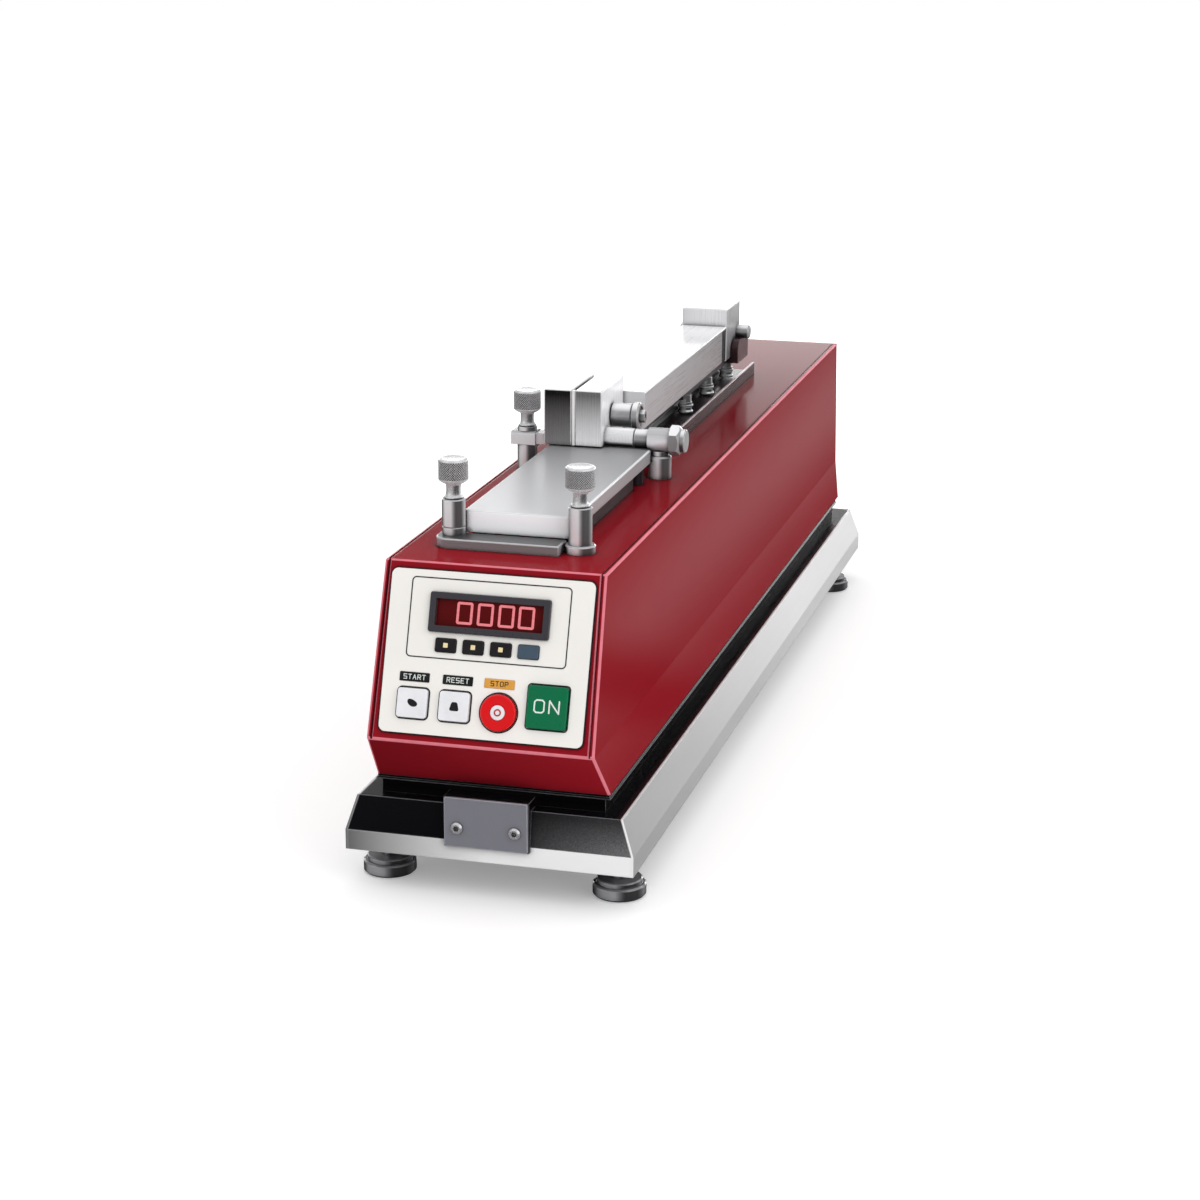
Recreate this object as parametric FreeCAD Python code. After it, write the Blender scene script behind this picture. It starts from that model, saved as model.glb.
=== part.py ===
"""Motorised crockmeter: a peg on a reciprocating arm rubs a cloth over a specimen on a fixed platform.

Frame: millimetres, +Z up, the control panel faces -Y, +X is the operator's right.
The origin is on the bench under the middle of the instrument.
"""
import FreeCAD, Part
import math
import os

V = FreeCAD.Vector

# Clearances
running_fit = 0.05
sliding_gap = 0.3
free_gap = 0.6

# Levelling feet
foot_pad_radius = 14.5
foot_pad_height = 7.0
foot_collar_radius = 12.5
foot_collar_height = 2.8
foot_stud_radius = 4.0
foot_stud_length = 24.0
foot_side_inset = 14.9
foot_front_inset = 29.0
foot_back_inset = 42.4
locknut_radius = 8.0
locknut_height = 5.0
ground_gap = 21.3

# Base casting and its bright trim
base_width = 159.8
base_top_width = 147.0
base_front = -343.0
base_back = 356.4
base_front_slope = 2.3
base_back_slope = 5.2
base_skirt_height = 11.2
base_slope_height = 19.8
base_wall = 5.0
base_rib = 6.0
base_rib_depth = 6.0
base_cross_ribs = 4
trim_thickness = 1.2

# Neck plate between the base and the housing
neck_step = 2.6
neck_height = 10.1
neck_front_inset = 1.0
neck_back_inset = 9.0
neck_lip_height = 2.4
neck_lip_bead = 0.4

# Console housing
housing_top_width = 120.8
nose_flare = 1.6
foot_flare = 4.2
housing_front = -325.7
housing_back = 347.7
nose_overhang = 31.0
chin_setback = 23.3
chin_height = 27.8
slope_height = 90.0
housing_wall = 2.0
housing_edge_radius = 1.4
nose_radius = 2.6
joint_inset = 2.5
joint_width = 0.7
joint_depth = 1.0
joint_bevel = 0.8
rear_panel_thickness = 2.0
rear_screw_inset = 9.0
rear_screw_side = 8.0
lug_half = 5.0
lug_depth = 9.0
foot_flange = 6.0
foot_flange_front = 8.0

# Control panel, laid out across (u) and down the slope (t) from the housing's top front edge
panel_side_margin = 5.0
panel_top = 4.4
panel_bottom = 90.5
panel_corner = 3.5
panel_thickness = 1.2
bezel_width = 65.4
bezel_height = 21.0
bezel_t = 26.0
bezel_proud = 2.2
bezel_rim = 2.4
bezel_depth = 9.0
window_recess = 3.0
window_thickness = 1.6
key_width = 11.2
key_height = 7.0
key_pitch = 15.0
key_t = 43.2
key_count = 4
square_width = 16.2
square_height = 15.4
square_t = 74.6
square_left_u = -37.7
square_right_u = -14.7
stop_radius = 9.6
stop_u = 9.3
stop_t = 75.8
power_width = 21.4
power_height = 22.4
power_u = 35.4
power_t = 71.0
key_proud = 1.4
button_proud = 2.4
key_travel = 1.0
button_travel = 2.0
cap_corner = 1.6
flange_lip = 1.2
flange_thickness = 1.0
cap_depth = 6.0
board_depth = 16.0
board_thickness = 1.6
board_side_margin = 4.4
board_margin = 6.0
standoff_radius = 3.0

# Blank plate at the front
plate_width = 46.0
plate_height = 27.5
plate_thickness = 1.2
plate_bottom = 30.0
plate_pad_proud = 1.8
plate_screw_spread = 32.0
plate_screw_height = 10.6
screw_head_radius = 3.3
screw_head_height = 1.7
screw_shank_radius = 1.5
screw_shank_length = 6.0
socket_radius = 1.6
socket_depth = 1.2

# Specimen platform with its bar and posts
platform_height = 17.8
platform_width = 62.0
platform_front = -282.5
platform_back = -88.0
platform_thickness = 7.75
platform_lip_height = 12.0
platform_lip_depth = 5.0
platform_edge = 0.8
spacer_radius = 5.0
spacer_side = 25.0
spacer_end_inset = 40.0
riser_side = 27.5
riser_width = 8.0
riser_gap = 9.0
post_spread = 70.4
front_post_y = -286.0
post_ring_radius = 8.3
post_ring_height = 4.6
post_radius = 6.4
post_height = 25.0
bar_front = -298.5
bar_height = 5.5
bar_right = 26.5
bar_corner = 9.0
screw_bore_radius = 3.0
screw_bore_depth = 16.0
knob_radius = 8.1
knob_neck_radius = 3.9
knob_foot_radius = 5.2
knob_neck_height = 9.0
knob_head_height = 13.0

# Rear posts, the clamp block and the sensor rod
rear_post_y = -108.0
left_post_x = -46.5
left_post_radius = 6.0
clamp_block_width = 15.0
clamp_block_depth = 12.5
clamp_block_height = 8.0
clamp_block_bottom = 16.1
clamp_pad_length = 6.2
clamp_washer_height = 2.5
right_post_radius = 6.9
right_post_neck_radius = 5.2
right_post_neck_height = 2.2
rod_height = 22.8
rod_radius = 5.8
collar_radius = 7.05
collar_width = 13.0
rod_nut_radius = 9.4
rod_nut_width = 6.4
rod_disc_radius = 6.9
rod_disc_width = 3.0

# Head, finger and finger clamp
head_front = -119.0
head_depth = 52.0
head_height = 33.5
head_lift = 0.5
head_left = -33.0
jaw_width = 16.8
jaw_gap = 2.2
outer_jaw_width = 16.2
jaw_edge = 0.5
finger_radius = 8.0
finger_y = -105.5
finger_length = 30.0
finger_tip_gap = 0.3
clamp_y = -94.0
clamp_height = 15.5
clamp_body_radius = 7.1
clamp_body_width = 13.0
clamp_cap_radius = 8.2
clamp_cap_width = 4.4
clamp_groove = 0.8
clamp_dish_radius = 6.0
clamp_nut_radius = 3.9
clamp_nut_width = 3.6
clamp_screw_radius = 2.5

# Arm, pivot block and pivot pin
arm_width = 31.0
arm_lift = 1.4
arm_height = 23.0
arm_edge = 0.6
pivot_block_front = 163.5
pivot_block_depth = 43.5
pivot_block_height = 36.3
pivot_block_edge = 0.8
end_pad_length = 13.5
end_pad_thickness = 2.0
end_pad_skin = 1.5
pin_radius = 4.8
pin_inset = 8.0
pin_reach = 24.6

# Carriage, guide rail and wheels
stroke = 104.0
channel_width = 48.4
channel_height = 7.9
channel_floor = 2.0
channel_wall = 1.5
channel_front_gap = 5.0
channel_back = 218.5
rail_half_width = 4.2
rail_height = 6.8
rail_nose_height = 4.2
rail_end_inset = 8.0
wheel_offset = 10.5
wheel_radius = 5.0
wheel_groove = 0.8
wheel_thickness = 5.6
wheel_pitch = 62.0
wheels_per_side = 3
axle_radius = 1.6
axle_shoulder_radius = 3.8
axle_ring_radius = 4.4
axle_ring_height = 1.2
carriage_width = 26.0
carriage_thickness = 3.0
carriage_front = 46.0
bracket_ear_thickness = 4.9
bracket_front = 177.0
saddle_depth = 1.8
ear_corner = 9.0

# Belt drive in the housing
drive_x = -18.0
belt_width = 6.0
belt_thickness = 1.3
pulley_radius = 12.0
pulley_flange = 2.0
pulley_flange_width = 1.0
motor_pulley_y = 161.0
idler_pulley_y = -29.0
belt_drop = 15.0
link_width = 3.0
link_length = 16.0
link_front = 94.0
link_foot_width = 7.0
link_foot_height = 3.0
slot_play = 1.2
shaft_radius = 3.0
motor_radius = 20.0
motor_length = 52.0
bracket_plate = 3.0
bracket_flange = 24.0
motor_bracket_width = 50.0
idler_bracket_width = 26.0

# Power supply and mains inlet
supply_width = 70.0
supply_length = 120.0
supply_height = 36.0
supply_front = -200.0
inlet_x = 25.0
inlet_height = 42.0
inlet_flange_width = 31.0
inlet_flange_height = 24.0
inlet_flange_thickness = 2.5
inlet_body_width = 27.0
inlet_body_height = 20.0
inlet_body_depth = 21.0
inlet_socket_width = 22.6
inlet_socket_height = 15.6
inlet_socket_depth = 16.0
inlet_pin_length = 8.5
inlet_pin_pitch = 7.0

# Widths worked out from the base and the housing's top
foot_x = base_width / 2 - foot_side_inset
housing_nose_width = housing_top_width + 2 * nose_flare
housing_foot_width = housing_top_width + 2 * foot_flare
neck_width = housing_foot_width - 2 * neck_step
panel_width = housing_top_width - 2 * panel_side_margin
board_width = housing_top_width - 2 * board_side_margin

# Heights worked out from the stack
skirt_top = ground_gap + base_skirt_height
base_top = skirt_top + base_slope_height
neck_top = base_top + neck_height
nose_z = neck_top + chin_height
housing_top = nose_z + slope_height
platform_top = housing_top + platform_height
head_bottom = platform_top + head_lift
arm_bottom = platform_top + arm_lift
arm_top = arm_bottom + arm_height
rod_z = housing_top + rod_height
clamp_z = platform_top + clamp_height

# Places along the instrument worked out from the sizes above
nose_y = housing_front - nose_overhang
chin_foot_y = nose_y + chin_setback
shell_back = housing_back - rear_panel_thickness
head_back = head_front + head_depth
split_x = head_left + jaw_width + jaw_gap / 2
head_right = head_left + jaw_width + jaw_gap + outer_jaw_width
pivot_block_back = pivot_block_front + pivot_block_depth
pivot_y = pivot_block_back - pin_inset
carriage_top = arm_bottom - arm_lift - sliding_gap
block_bottom = carriage_top + sliding_gap
pivot_z = block_bottom + 15.2
channel_front = platform_back + channel_front_gap
channel_top = housing_top + channel_height
floor_z = housing_top + channel_floor
moving_reach = head_right + clamp_body_width + sliding_gap + clamp_cap_width

# The slope of the control panel
panel_length = math.hypot(nose_overhang, slope_height)
panel_tilt = math.degrees(math.atan2(slope_height, nose_overhang))
panel_down = V(0, -nose_overhang, -slope_height) / panel_length
panel_out = V(0, -slope_height, nose_overhang) / panel_length


def box(x0, x1, y0, y1, z0, z1):
    """Block between two corners."""
    return Part.makeBox(x1 - x0, y1 - y0, z1 - z0, V(x0, y0, z0))


def rod(radius, length, start, axis=V(0, 0, 1)):
    """Round bar from a start point along an axis."""
    return Part.makeCylinder(radius, length, start, axis)


def turned(profile, start, axis=V(0, 0, 1)):
    """Solid of revolution from (radius, height) points, standing at start along axis."""
    points = [V(r, 0, h) for r, h in profile]
    face = Part.Face(Part.makePolygon(points + [points[0]]))
    solid = face.revolve(V(0, 0, 0), V(0, 0, 1), 360)
    solid.Placement = FreeCAD.Placement(start, FreeCAD.Rotation(V(0, 0, 1), axis))
    return solid


def prism(points, direction):
    """Solid made by pushing a closed outline along a direction."""
    return Part.Face(Part.makePolygon(points + [points[0]])).extrude(direction)


def hex_bar(radius, length, start, axis=V(0, 0, 1)):
    """Hexagonal bar, measured over its corners, from a start point along an axis."""
    turns = [math.radians(60 * index) for index in range(6)]
    bar = prism([V(radius * math.cos(a), radius * math.sin(a), 0) for a in turns], V(0, 0, length))
    bar.Placement = FreeCAD.Placement(start, FreeCAD.Rotation(V(0, 0, 1), axis))
    return bar


def rounded_block(width, height, radius, z0, z1):
    """Block centred on the local axis with its four upright edges rounded."""
    block = box(-width / 2, width / 2, -height / 2, height / 2, z0, z1)
    upright = [e for e in block.Edges if abs(e.tangentAt(e.FirstParameter).z) > 0.9]
    return block.makeFillet(min(radius, width / 2 - 0.1, height / 2 - 0.1), upright)


def level_corners(half_width, front, back, z):
    """Corners of a rectangle at one height."""
    return [V(-half_width, front, z), V(half_width, front, z),
            V(half_width, back, z), V(-half_width, back, z)]


def flat_face(points):
    """Plane face inside a closed outline."""
    return Part.Face(Part.makePolygon(points + [points[0]]))


def stacked(levels):
    """Flat-sided solid through level rectangles given as (half width, front, back, height)."""
    rings = [level_corners(*level) for level in levels]
    faces = [flat_face(rings[0][::-1]), flat_face(rings[-1])]
    for low, high in zip(rings, rings[1:]):
        for index in range(4):
            after = (index + 1) % 4
            faces.append(flat_face([low[index], low[after], high[after], high[index]]))
    return Part.Solid(Part.makeShell(faces))


def fused(shapes):
    """One solid from touching shapes."""
    return shapes[0].multiFuse(shapes[1:]).removeSplitter()


def group(shapes):
    """Several separate solids kept in one piece file."""
    return Part.makeCompound(shapes)


def on_panel(shape, u, t, lift=0.0):
    """Place a shape, drawn flat with +Z outwards, on the slanted panel."""
    spot = V(u, housing_front, housing_top) + panel_down * t + panel_out * lift
    turn = FreeCAD.Placement(spot, FreeCAD.Rotation(V(1, 0, 0), panel_tilt))
    placed = shape.copy()
    placed.Placement = turn.multiply(placed.Placement)
    return placed


def edges_along(shape, direction, test=None):
    """Straight edges parallel to a direction, those that pass the test if one is given."""
    found = []
    for edge in shape.Edges:
        along = edge.tangentAt(edge.FirstParameter)
        if abs(along.dot(direction)) > 0.999 and (test is None or test(edge.CenterOfMass)):
            found.append(edge)
    return found


def panel_features():
    """Outline of every opening in the control panel: name, u, t, width, height, corner."""
    first_key = -key_pitch * (key_count - 1) / 2
    features = [("counter", 0.0, bezel_t, bezel_width - 2 * bezel_rim, bezel_height - 2 * bezel_rim, 0.5)]
    for index in range(key_count):
        features.append((f"counter_key_{index + 1}", first_key + index * key_pitch, key_t,
                         key_width, key_height, cap_corner / 2))
    features.append(("white_button_left", square_left_u, square_t, square_width, square_height, cap_corner))
    features.append(("white_button_right", square_right_u, square_t, square_width, square_height, cap_corner))
    features.append(("stop_button", stop_u, stop_t, 2 * stop_radius, 2 * stop_radius, stop_radius))
    features.append(("power_switch", power_u, power_t, power_width, power_height, cap_corner))
    return features


def feature_blank(name, width, height, corner, grow, z0, z1):
    """Block or round bar with a feature's outline, grown all round."""
    if name == "stop_button":
        return rod(width / 2 + grow, z1 - z0, V(0, 0, z0))
    return rounded_block(width + 2 * grow, height + 2 * grow, corner + grow, z0, z1)


def panel_cutters():
    """The holes for the counter and all buttons, through the panel plate and the housing."""
    reach = board_depth
    cutters = []
    for name, u, t, width, height, corner in panel_features():
        blank = feature_blank(name, width, height, corner, sliding_gap, -reach, reach)
        cutters.append(on_panel(blank, u, t))
    return cutters


def feature_travel(name):
    """How far a key or button goes in."""
    return key_travel if name.startswith("counter") else button_travel


def button(name, width, height, corner):
    """Cap with a retaining flange behind the housing wall and a stem for its switch."""
    proud = key_proud if name.startswith("counter") else button_proud
    top = panel_thickness + proud
    flange_top = -housing_wall - sliding_gap
    cap = feature_blank(name, width, height, corner, 0.0, -cap_depth, top)
    if name == "stop_button":
        dish = rod(stop_radius * 0.45, 0.5, V(0, 0, top - 0.5))
        cap = cap.makeFillet(0.9, [e for e in cap.Edges if e.CenterOfMass.z > top - 0.01]).cut(dish)
    else:
        cap = cap.makeFillet(0.5, [e for e in cap.Edges if e.BoundBox.ZMin > top - 0.01])
    flange = feature_blank(name, width, height, corner, flange_lip,
                           flange_top - flange_thickness, flange_top)
    return fused([cap, flange])


def feet_places():
    """Centres of the four feet, named."""
    places = []
    for end, y in (("front", base_front + foot_front_inset), ("rear", base_back - foot_back_inset)):
        for side, x in (("left", -foot_x), ("right", foot_x)):
            places.append((f"foot_{end}_{side}", V(x, y, 0)))
    return places


def foot(spot):
    """Round pad with a dished top, a collar and a stud that screws into the base."""
    collar_top = foot_pad_height + foot_collar_height
    return turned([(0, 0), (foot_pad_radius - 1, 0), (foot_pad_radius, 1),
                   (foot_pad_radius, foot_pad_height - 0.8),
                   (foot_pad_radius - 0.8, foot_pad_height),
                   (foot_collar_radius, foot_pad_height),
                   (foot_collar_radius, collar_top - 0.6),
                   (foot_collar_radius - 0.6, collar_top),
                   (foot_stud_radius, collar_top),
                   (foot_stud_radius, collar_top + foot_stud_length),
                   (0, collar_top + foot_stud_length)], spot)


def locknuts():
    """Hexagon nuts under the base, one on each foot's stud."""
    nuts = []
    for _, spot in feet_places():
        bottom = V(spot.x, spot.y, ground_gap - locknut_height)
        nut = hex_bar(locknut_radius, locknut_height, bottom)
        nuts.append(nut.cut(rod(foot_stud_radius + running_fit, locknut_height, bottom)))
    return nuts


def base_levels(inset):
    """Level rectangles of the base, its sides drawn in by inset."""
    low = base_width / 2 - inset
    high = base_top_width / 2 - inset
    return [(low, base_front, base_back, ground_gap), (low, base_front, base_back, skirt_top),
            (high, base_front + base_front_slope, base_back - base_back_slope, base_top)]


def skirt_band(inset):
    """The upright band round the foot of the base, drawn in on all sides by inset."""
    half = base_width / 2 - inset
    return box(-half, half, base_front + inset, base_back - inset, ground_gap, skirt_top)


def base_trim():
    """Bright cover strips: two folded side strips and a skirt strip across each end."""
    outside = stacked(base_levels(0.0))
    inside = stacked(base_levels(trim_thickness))
    sides = outside.cut(inside)
    front = skirt_band(0.0).common(box(-base_width / 2 + trim_thickness, base_width / 2 - trim_thickness,
                                       base_front, base_front + trim_thickness, ground_gap, skirt_top))
    back = front.copy()
    back.translate(V(0, base_back - base_front - trim_thickness, 0))
    return group(sides.Solids + [front.cut(plate_pad()), back])


def plate_pad():
    """Block of the casting that carries the blank plate."""
    neck_front = chin_foot_y + neck_front_inset
    return box(-plate_width / 2 - 0.5, plate_width / 2 + 0.5, base_front - plate_pad_proud,
               neck_front - sliding_gap, plate_bottom - 0.5, plate_bottom + plate_height)


def base_casting():
    """Casting open below, with low ribs under its deck and a boss for each foot."""
    body = stacked(base_levels(trim_thickness)).cut(base_trim())
    deck = base_top - base_wall
    rib_foot = deck - base_rib_depth
    half = base_top_width / 2 - trim_thickness - base_wall
    front = base_front + base_front_slope + base_wall
    back = base_back - base_back_slope - base_wall
    hollow = box(-half, half, front, back, ground_gap - 1, deck)
    ribs = [box(x - base_rib / 2, x + base_rib / 2, front, back, rib_foot, deck)
            for x in (-half / 3, half / 3)]
    bay = (back - front) / (base_cross_ribs + 1)
    for index in range(base_cross_ribs):
        y = front + bay * (index + 1)
        ribs.append(box(-half, half, y - base_rib / 2, y + base_rib / 2, rib_foot, deck))
    bosses = [rod(locknut_radius + 3, deck - ground_gap, V(spot.x, spot.y, ground_gap))
              for _, spot in feet_places()]
    hollow = hollow.cut(group(ribs)).cut(group(bosses))
    body = body.cut(hollow).fuse(plate_pad())
    stud_depth = foot_pad_height + foot_collar_height + foot_stud_length + sliding_gap
    for _, spot in feet_places():
        body = body.cut(rod(foot_stud_radius + running_fit, stud_depth, spot))
    for place in plate_screw_places():
        body = body.cut(rod(screw_shank_radius, screw_shank_length, place, V(0, 1, 0)))
    return body.removeSplitter()


def plate_face_y():
    """Front face of the pad behind the blank plate."""
    return base_front - plate_pad_proud


def plate_screw_places():
    """Where the two screws of the blank plate enter the pad."""
    z = plate_bottom + plate_screw_height
    return [V(x, plate_face_y(), z) for x in (-plate_screw_spread / 2, plate_screw_spread / 2)]


def blank_plate():
    """Bare plate screwed to the pad."""
    y = plate_face_y()
    plate = box(-plate_width / 2, plate_width / 2, y - plate_thickness, y,
                plate_bottom, plate_bottom + plate_height)
    plate = plate.makeFillet(0.8, edges_along(plate, V(0, 1, 0)))
    for place in plate_screw_places():
        plate = plate.cut(rod(screw_shank_radius, plate_thickness, place, V(0, -1, 0)))
    return plate


def screw(spot, inwards, grip):
    """Button head socket screw whose head rests on a sheet of thickness grip."""
    seat = spot - inwards * grip
    head = turned([(0, 0), (screw_head_radius, 0), (screw_head_radius, screw_head_height * 0.4),
                   (screw_head_radius * 0.7, screw_head_height), (0, screw_head_height)], seat, -inwards)
    shank = rod(screw_shank_radius, grip + screw_shank_length, seat, inwards)
    socket = hex_bar(socket_radius, socket_depth, seat - inwards * screw_head_height, inwards)
    return fused([head, shank]).cut(socket)


def rear_screw_places():
    """Centres of the six rear panel screws on the shell's end."""
    places = []
    low = neck_top + rear_screw_inset
    high = housing_top - rear_screw_inset
    for side in (-1, 1):
        for z in (low, (low + high) / 2, high):
            places.append(V(side * (housing_top_width / 2 - rear_screw_side), shell_back, z))
    return places


def fasteners():
    """All loose fasteners: screws of the blank plate and the rear panel, locknuts of the feet."""
    front = [screw(place, V(0, 1, 0), plate_thickness) for place in plate_screw_places()]
    rear = [screw(place, V(0, -1, 0), rear_panel_thickness) for place in rear_screw_places()]
    return group(front + rear + locknuts())


def neck_plate():
    """Black spacer that closes the housing below, with a beaded lip round its top."""
    back = housing_back - neck_back_inset
    block = box(-neck_width / 2, neck_width / 2, chin_foot_y + neck_front_inset, back, base_top, neck_top)
    half = housing_foot_width / 2
    foot = neck_top - neck_lip_height
    levels = []
    for grow, z in ((neck_lip_bead, foot), (neck_lip_bead, foot + neck_lip_bead),
                    (-sliding_gap, foot + 2 * neck_lip_bead + sliding_gap), (-sliding_gap, neck_top)):
        levels.append((half + grow, chin_foot_y - grow, back, z))
    return fused([block, stacked(levels)])


def housing_levels(inset, back):
    """Level rectangles of the console, its walls moved in by inset, from foot to top."""
    slope = nose_overhang / slope_height
    chin_slope = chin_setback / chin_height
    front_inset = inset / abs(panel_out.y)
    chin_inset = inset * math.hypot(1, chin_slope)
    nose_rise = (chin_inset - front_inset) / (slope + chin_slope)
    return [(housing_foot_width / 2 - inset, chin_foot_y + chin_inset, back, neck_top),
            (housing_nose_width / 2 - inset, nose_y + front_inset + nose_rise * slope, back,
             nose_z + nose_rise),
            (housing_top_width / 2 - inset, housing_front + front_inset - inset * slope, back,
             housing_top - inset)]


def drive_slot(z0, z1):
    """Slot for the drive link over its whole stroke."""
    half = link_width / 2 + slot_play
    return box(drive_x - half, drive_x + half, link_front - stroke - slot_play - 1,
               link_front + link_length + slot_play, z0, z1)


def sheet_joints():
    """Cutters for the joints between the front and top sheet and the two side walls."""
    half = housing_top_width / 2 - joint_inset
    cutters = []
    for side in (-1, 1):
        inner = half - joint_width / 2
        outer = half + joint_width / 2
        section = [(inner - joint_bevel, 0), (inner, -joint_bevel), (inner, -joint_depth),
                   (outer, -joint_depth), (outer, 2), (inner - joint_bevel, 2)]
        outline = [V(side * u, 0, w) for u, w in section]
        cutters.append(on_panel(prism(outline, V(side * nose_flare, -panel_length, 0)), 0, 0))
        cutters.append(box(min(side * inner, side * outer), max(side * inner, side * outer),
                           housing_front, shell_back + 1, housing_top - joint_depth, housing_top + 1))
    return group(cutters)


def housing_shell():
    """Folded and welded console, open behind and below, rounded at its outer edges."""
    outside = stacked(housing_levels(0.0, shell_back))
    nose = edges_along(outside, V(1, 0, 0), lambda c: abs(c.z - nose_z) < 0.1 and c.y < nose_y + 1)
    outside = outside.makeFillet(nose_radius, nose)
    rounded = [e for e in outside.Edges
               if e.BoundBox.YMin < shell_back - 1 and e.BoundBox.ZMax > neck_top + 1
               and e.BoundBox.YMax - e.BoundBox.YMin + e.BoundBox.XMax - e.BoundBox.XMin > 4 * nose_radius]
    outside = outside.makeFillet(housing_edge_radius, rounded)
    inside = stacked(housing_levels(housing_wall, shell_back + 1))
    half = housing_foot_width / 2 - foot_flange
    open_foot = box(-half, half, chin_foot_y + foot_flange_front, shell_back + 1, neck_top - 1, neck_top + 1)
    shell = outside.cut(inside).cut(open_foot)
    lugs = []
    for place in rear_screw_places():
        wall_x = math.copysign(max(housing_foot_width, housing_top_width) / 2, place.x)
        lug = box(min(place.x - lug_half, wall_x), max(place.x + lug_half, wall_x),
                  shell_back - lug_depth, shell_back, place.z - lug_half, place.z + lug_half)
        lugs.append(lug.common(outside))
    shell = shell.multiFuse(lugs)
    for place in rear_screw_places():
        shell = shell.cut(rod(screw_shank_radius, screw_shank_length, place, V(0, -1, 0)))
    shell = shell.cut(group(panel_cutters())).cut(sheet_joints())
    return shell.cut(drive_slot(housing_top - 2 * housing_wall, housing_top + 1)).removeSplitter()


def rear_panel():
    """Flat cover over the open rear end with the cut-out for the mains inlet."""
    outline = stacked(housing_levels(0.0, housing_back))
    slab = box(-housing_foot_width, housing_foot_width, shell_back, housing_back, neck_top, housing_top)
    panel = outline.common(slab)
    z = neck_top + inlet_height
    cut = box(inlet_x - inlet_body_width / 2 - 0.2, inlet_x + inlet_body_width / 2 + 0.2,
              shell_back - 1, housing_back + 1,
              z - inlet_body_height / 2 - 0.2, z + inlet_body_height / 2 + 0.2)
    panel = panel.cut(cut)
    for place in rear_screw_places():
        panel = panel.cut(rod(screw_shank_radius, rear_panel_thickness, place, V(0, 1, 0)))
    return panel.removeSplitter()


def power_inlet():
    """Three-pin mains inlet with its socket open to the rear."""
    z = neck_top + inlet_height

    def centred(width, height, y0, y1):
        return box(inlet_x - width / 2, inlet_x + width / 2, y0, y1, z - height / 2, z + height / 2)

    face = housing_back + inlet_flange_thickness
    flange = centred(inlet_flange_width, inlet_flange_height, housing_back, face)
    flange = flange.makeFillet(2.0, edges_along(flange, V(0, 1, 0)))
    body = centred(inlet_body_width, inlet_body_height, face - inlet_body_depth, housing_back)
    socket = centred(inlet_socket_width, inlet_socket_height, face - inlet_socket_depth, face + 1)
    upper = edges_along(socket, V(0, 1, 0), lambda c: c.z > z)
    socket = socket.makeChamfer(4.0, upper)
    inlet = fused([flange, body]).cut(socket)
    pin_start = face - inlet_socket_depth
    pins = [box(inlet_x + dx - 1, inlet_x + dx + 1, pin_start, pin_start + inlet_pin_length,
                z + dz - 2, z + dz + 2)
            for dx, dz in ((-inlet_pin_pitch, -1.5), (0, 1.5), (inlet_pin_pitch, -1.5))]
    return fused([inlet] + pins)


def panel_plate():
    """Off-white plate on the slanted front with the cut-outs of counter and buttons."""
    height = panel_bottom - panel_top
    plate = rounded_block(panel_width, height, panel_corner, 0, panel_thickness)
    plate = on_panel(plate, 0, (panel_top + panel_bottom) / 2)
    return plate.cut(group(panel_cutters()))


def counter_bezel():
    """Moulded frame of the counter, standing proud, with a ledge for the window."""
    top = panel_thickness + bezel_proud
    rim = rounded_block(bezel_width, bezel_height, 1.2, panel_thickness, top)
    rim = rim.makeFillet(0.6, [e for e in rim.Edges if e.BoundBox.ZMin > top - 0.01])
    neck_wide = bezel_width - 2 * bezel_rim
    neck_high = bezel_height - 2 * bezel_rim
    neck = rounded_block(neck_wide, neck_high, 0.5, -bezel_depth, panel_thickness)
    sight = rounded_block(neck_wide - 2, neck_high - 2, 0.4, -bezel_depth - 1, top + 1)
    return on_panel(fused([rim, neck]).cut(sight), 0, bezel_t)


def counter_window():
    """Dark red filter set back in the bezel."""
    top = panel_thickness + bezel_proud - window_recess
    width = bezel_width - 2 * bezel_rim - 2
    height = bezel_height - 2 * bezel_rim - 2
    return on_panel(rounded_block(width, height, 0.4, top - window_thickness, top), 0, bezel_t)


def circuit_board():
    """Board behind the panel, on four standoffs, with a switch body behind every button."""
    top = -board_depth + board_thickness
    height = panel_bottom - panel_top - 2 * board_margin
    middle = (panel_top + panel_bottom) / 2
    board = box(-board_width / 2, board_width / 2, -height / 2, height / 2, -board_depth, top)
    pieces = [on_panel(board, 0, middle)]
    for name, u, t, width, feature_height, _ in panel_features():
        if name == "counter":
            reach = -bezel_depth - sliding_gap
            pieces.append(on_panel(box(-width / 2, width / 2, -feature_height / 2, feature_height / 2,
                                       top, reach), u, t))
        else:
            reach = -cap_depth - feature_travel(name) - sliding_gap
            half = min(width, feature_height) / 2 - 1
            pieces.append(on_panel(box(-half, half, -half, half, top, reach), u, t))
    for u in (-board_width / 2 + standoff_radius, board_width / 2 - standoff_radius):
        for t in (middle - height / 2 + standoff_radius, middle + height / 2 - standoff_radius):
            pieces.append(on_panel(rod(standoff_radius, -housing_wall - top, V(0, 0, top)), u, t))
    return group(pieces)


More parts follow.
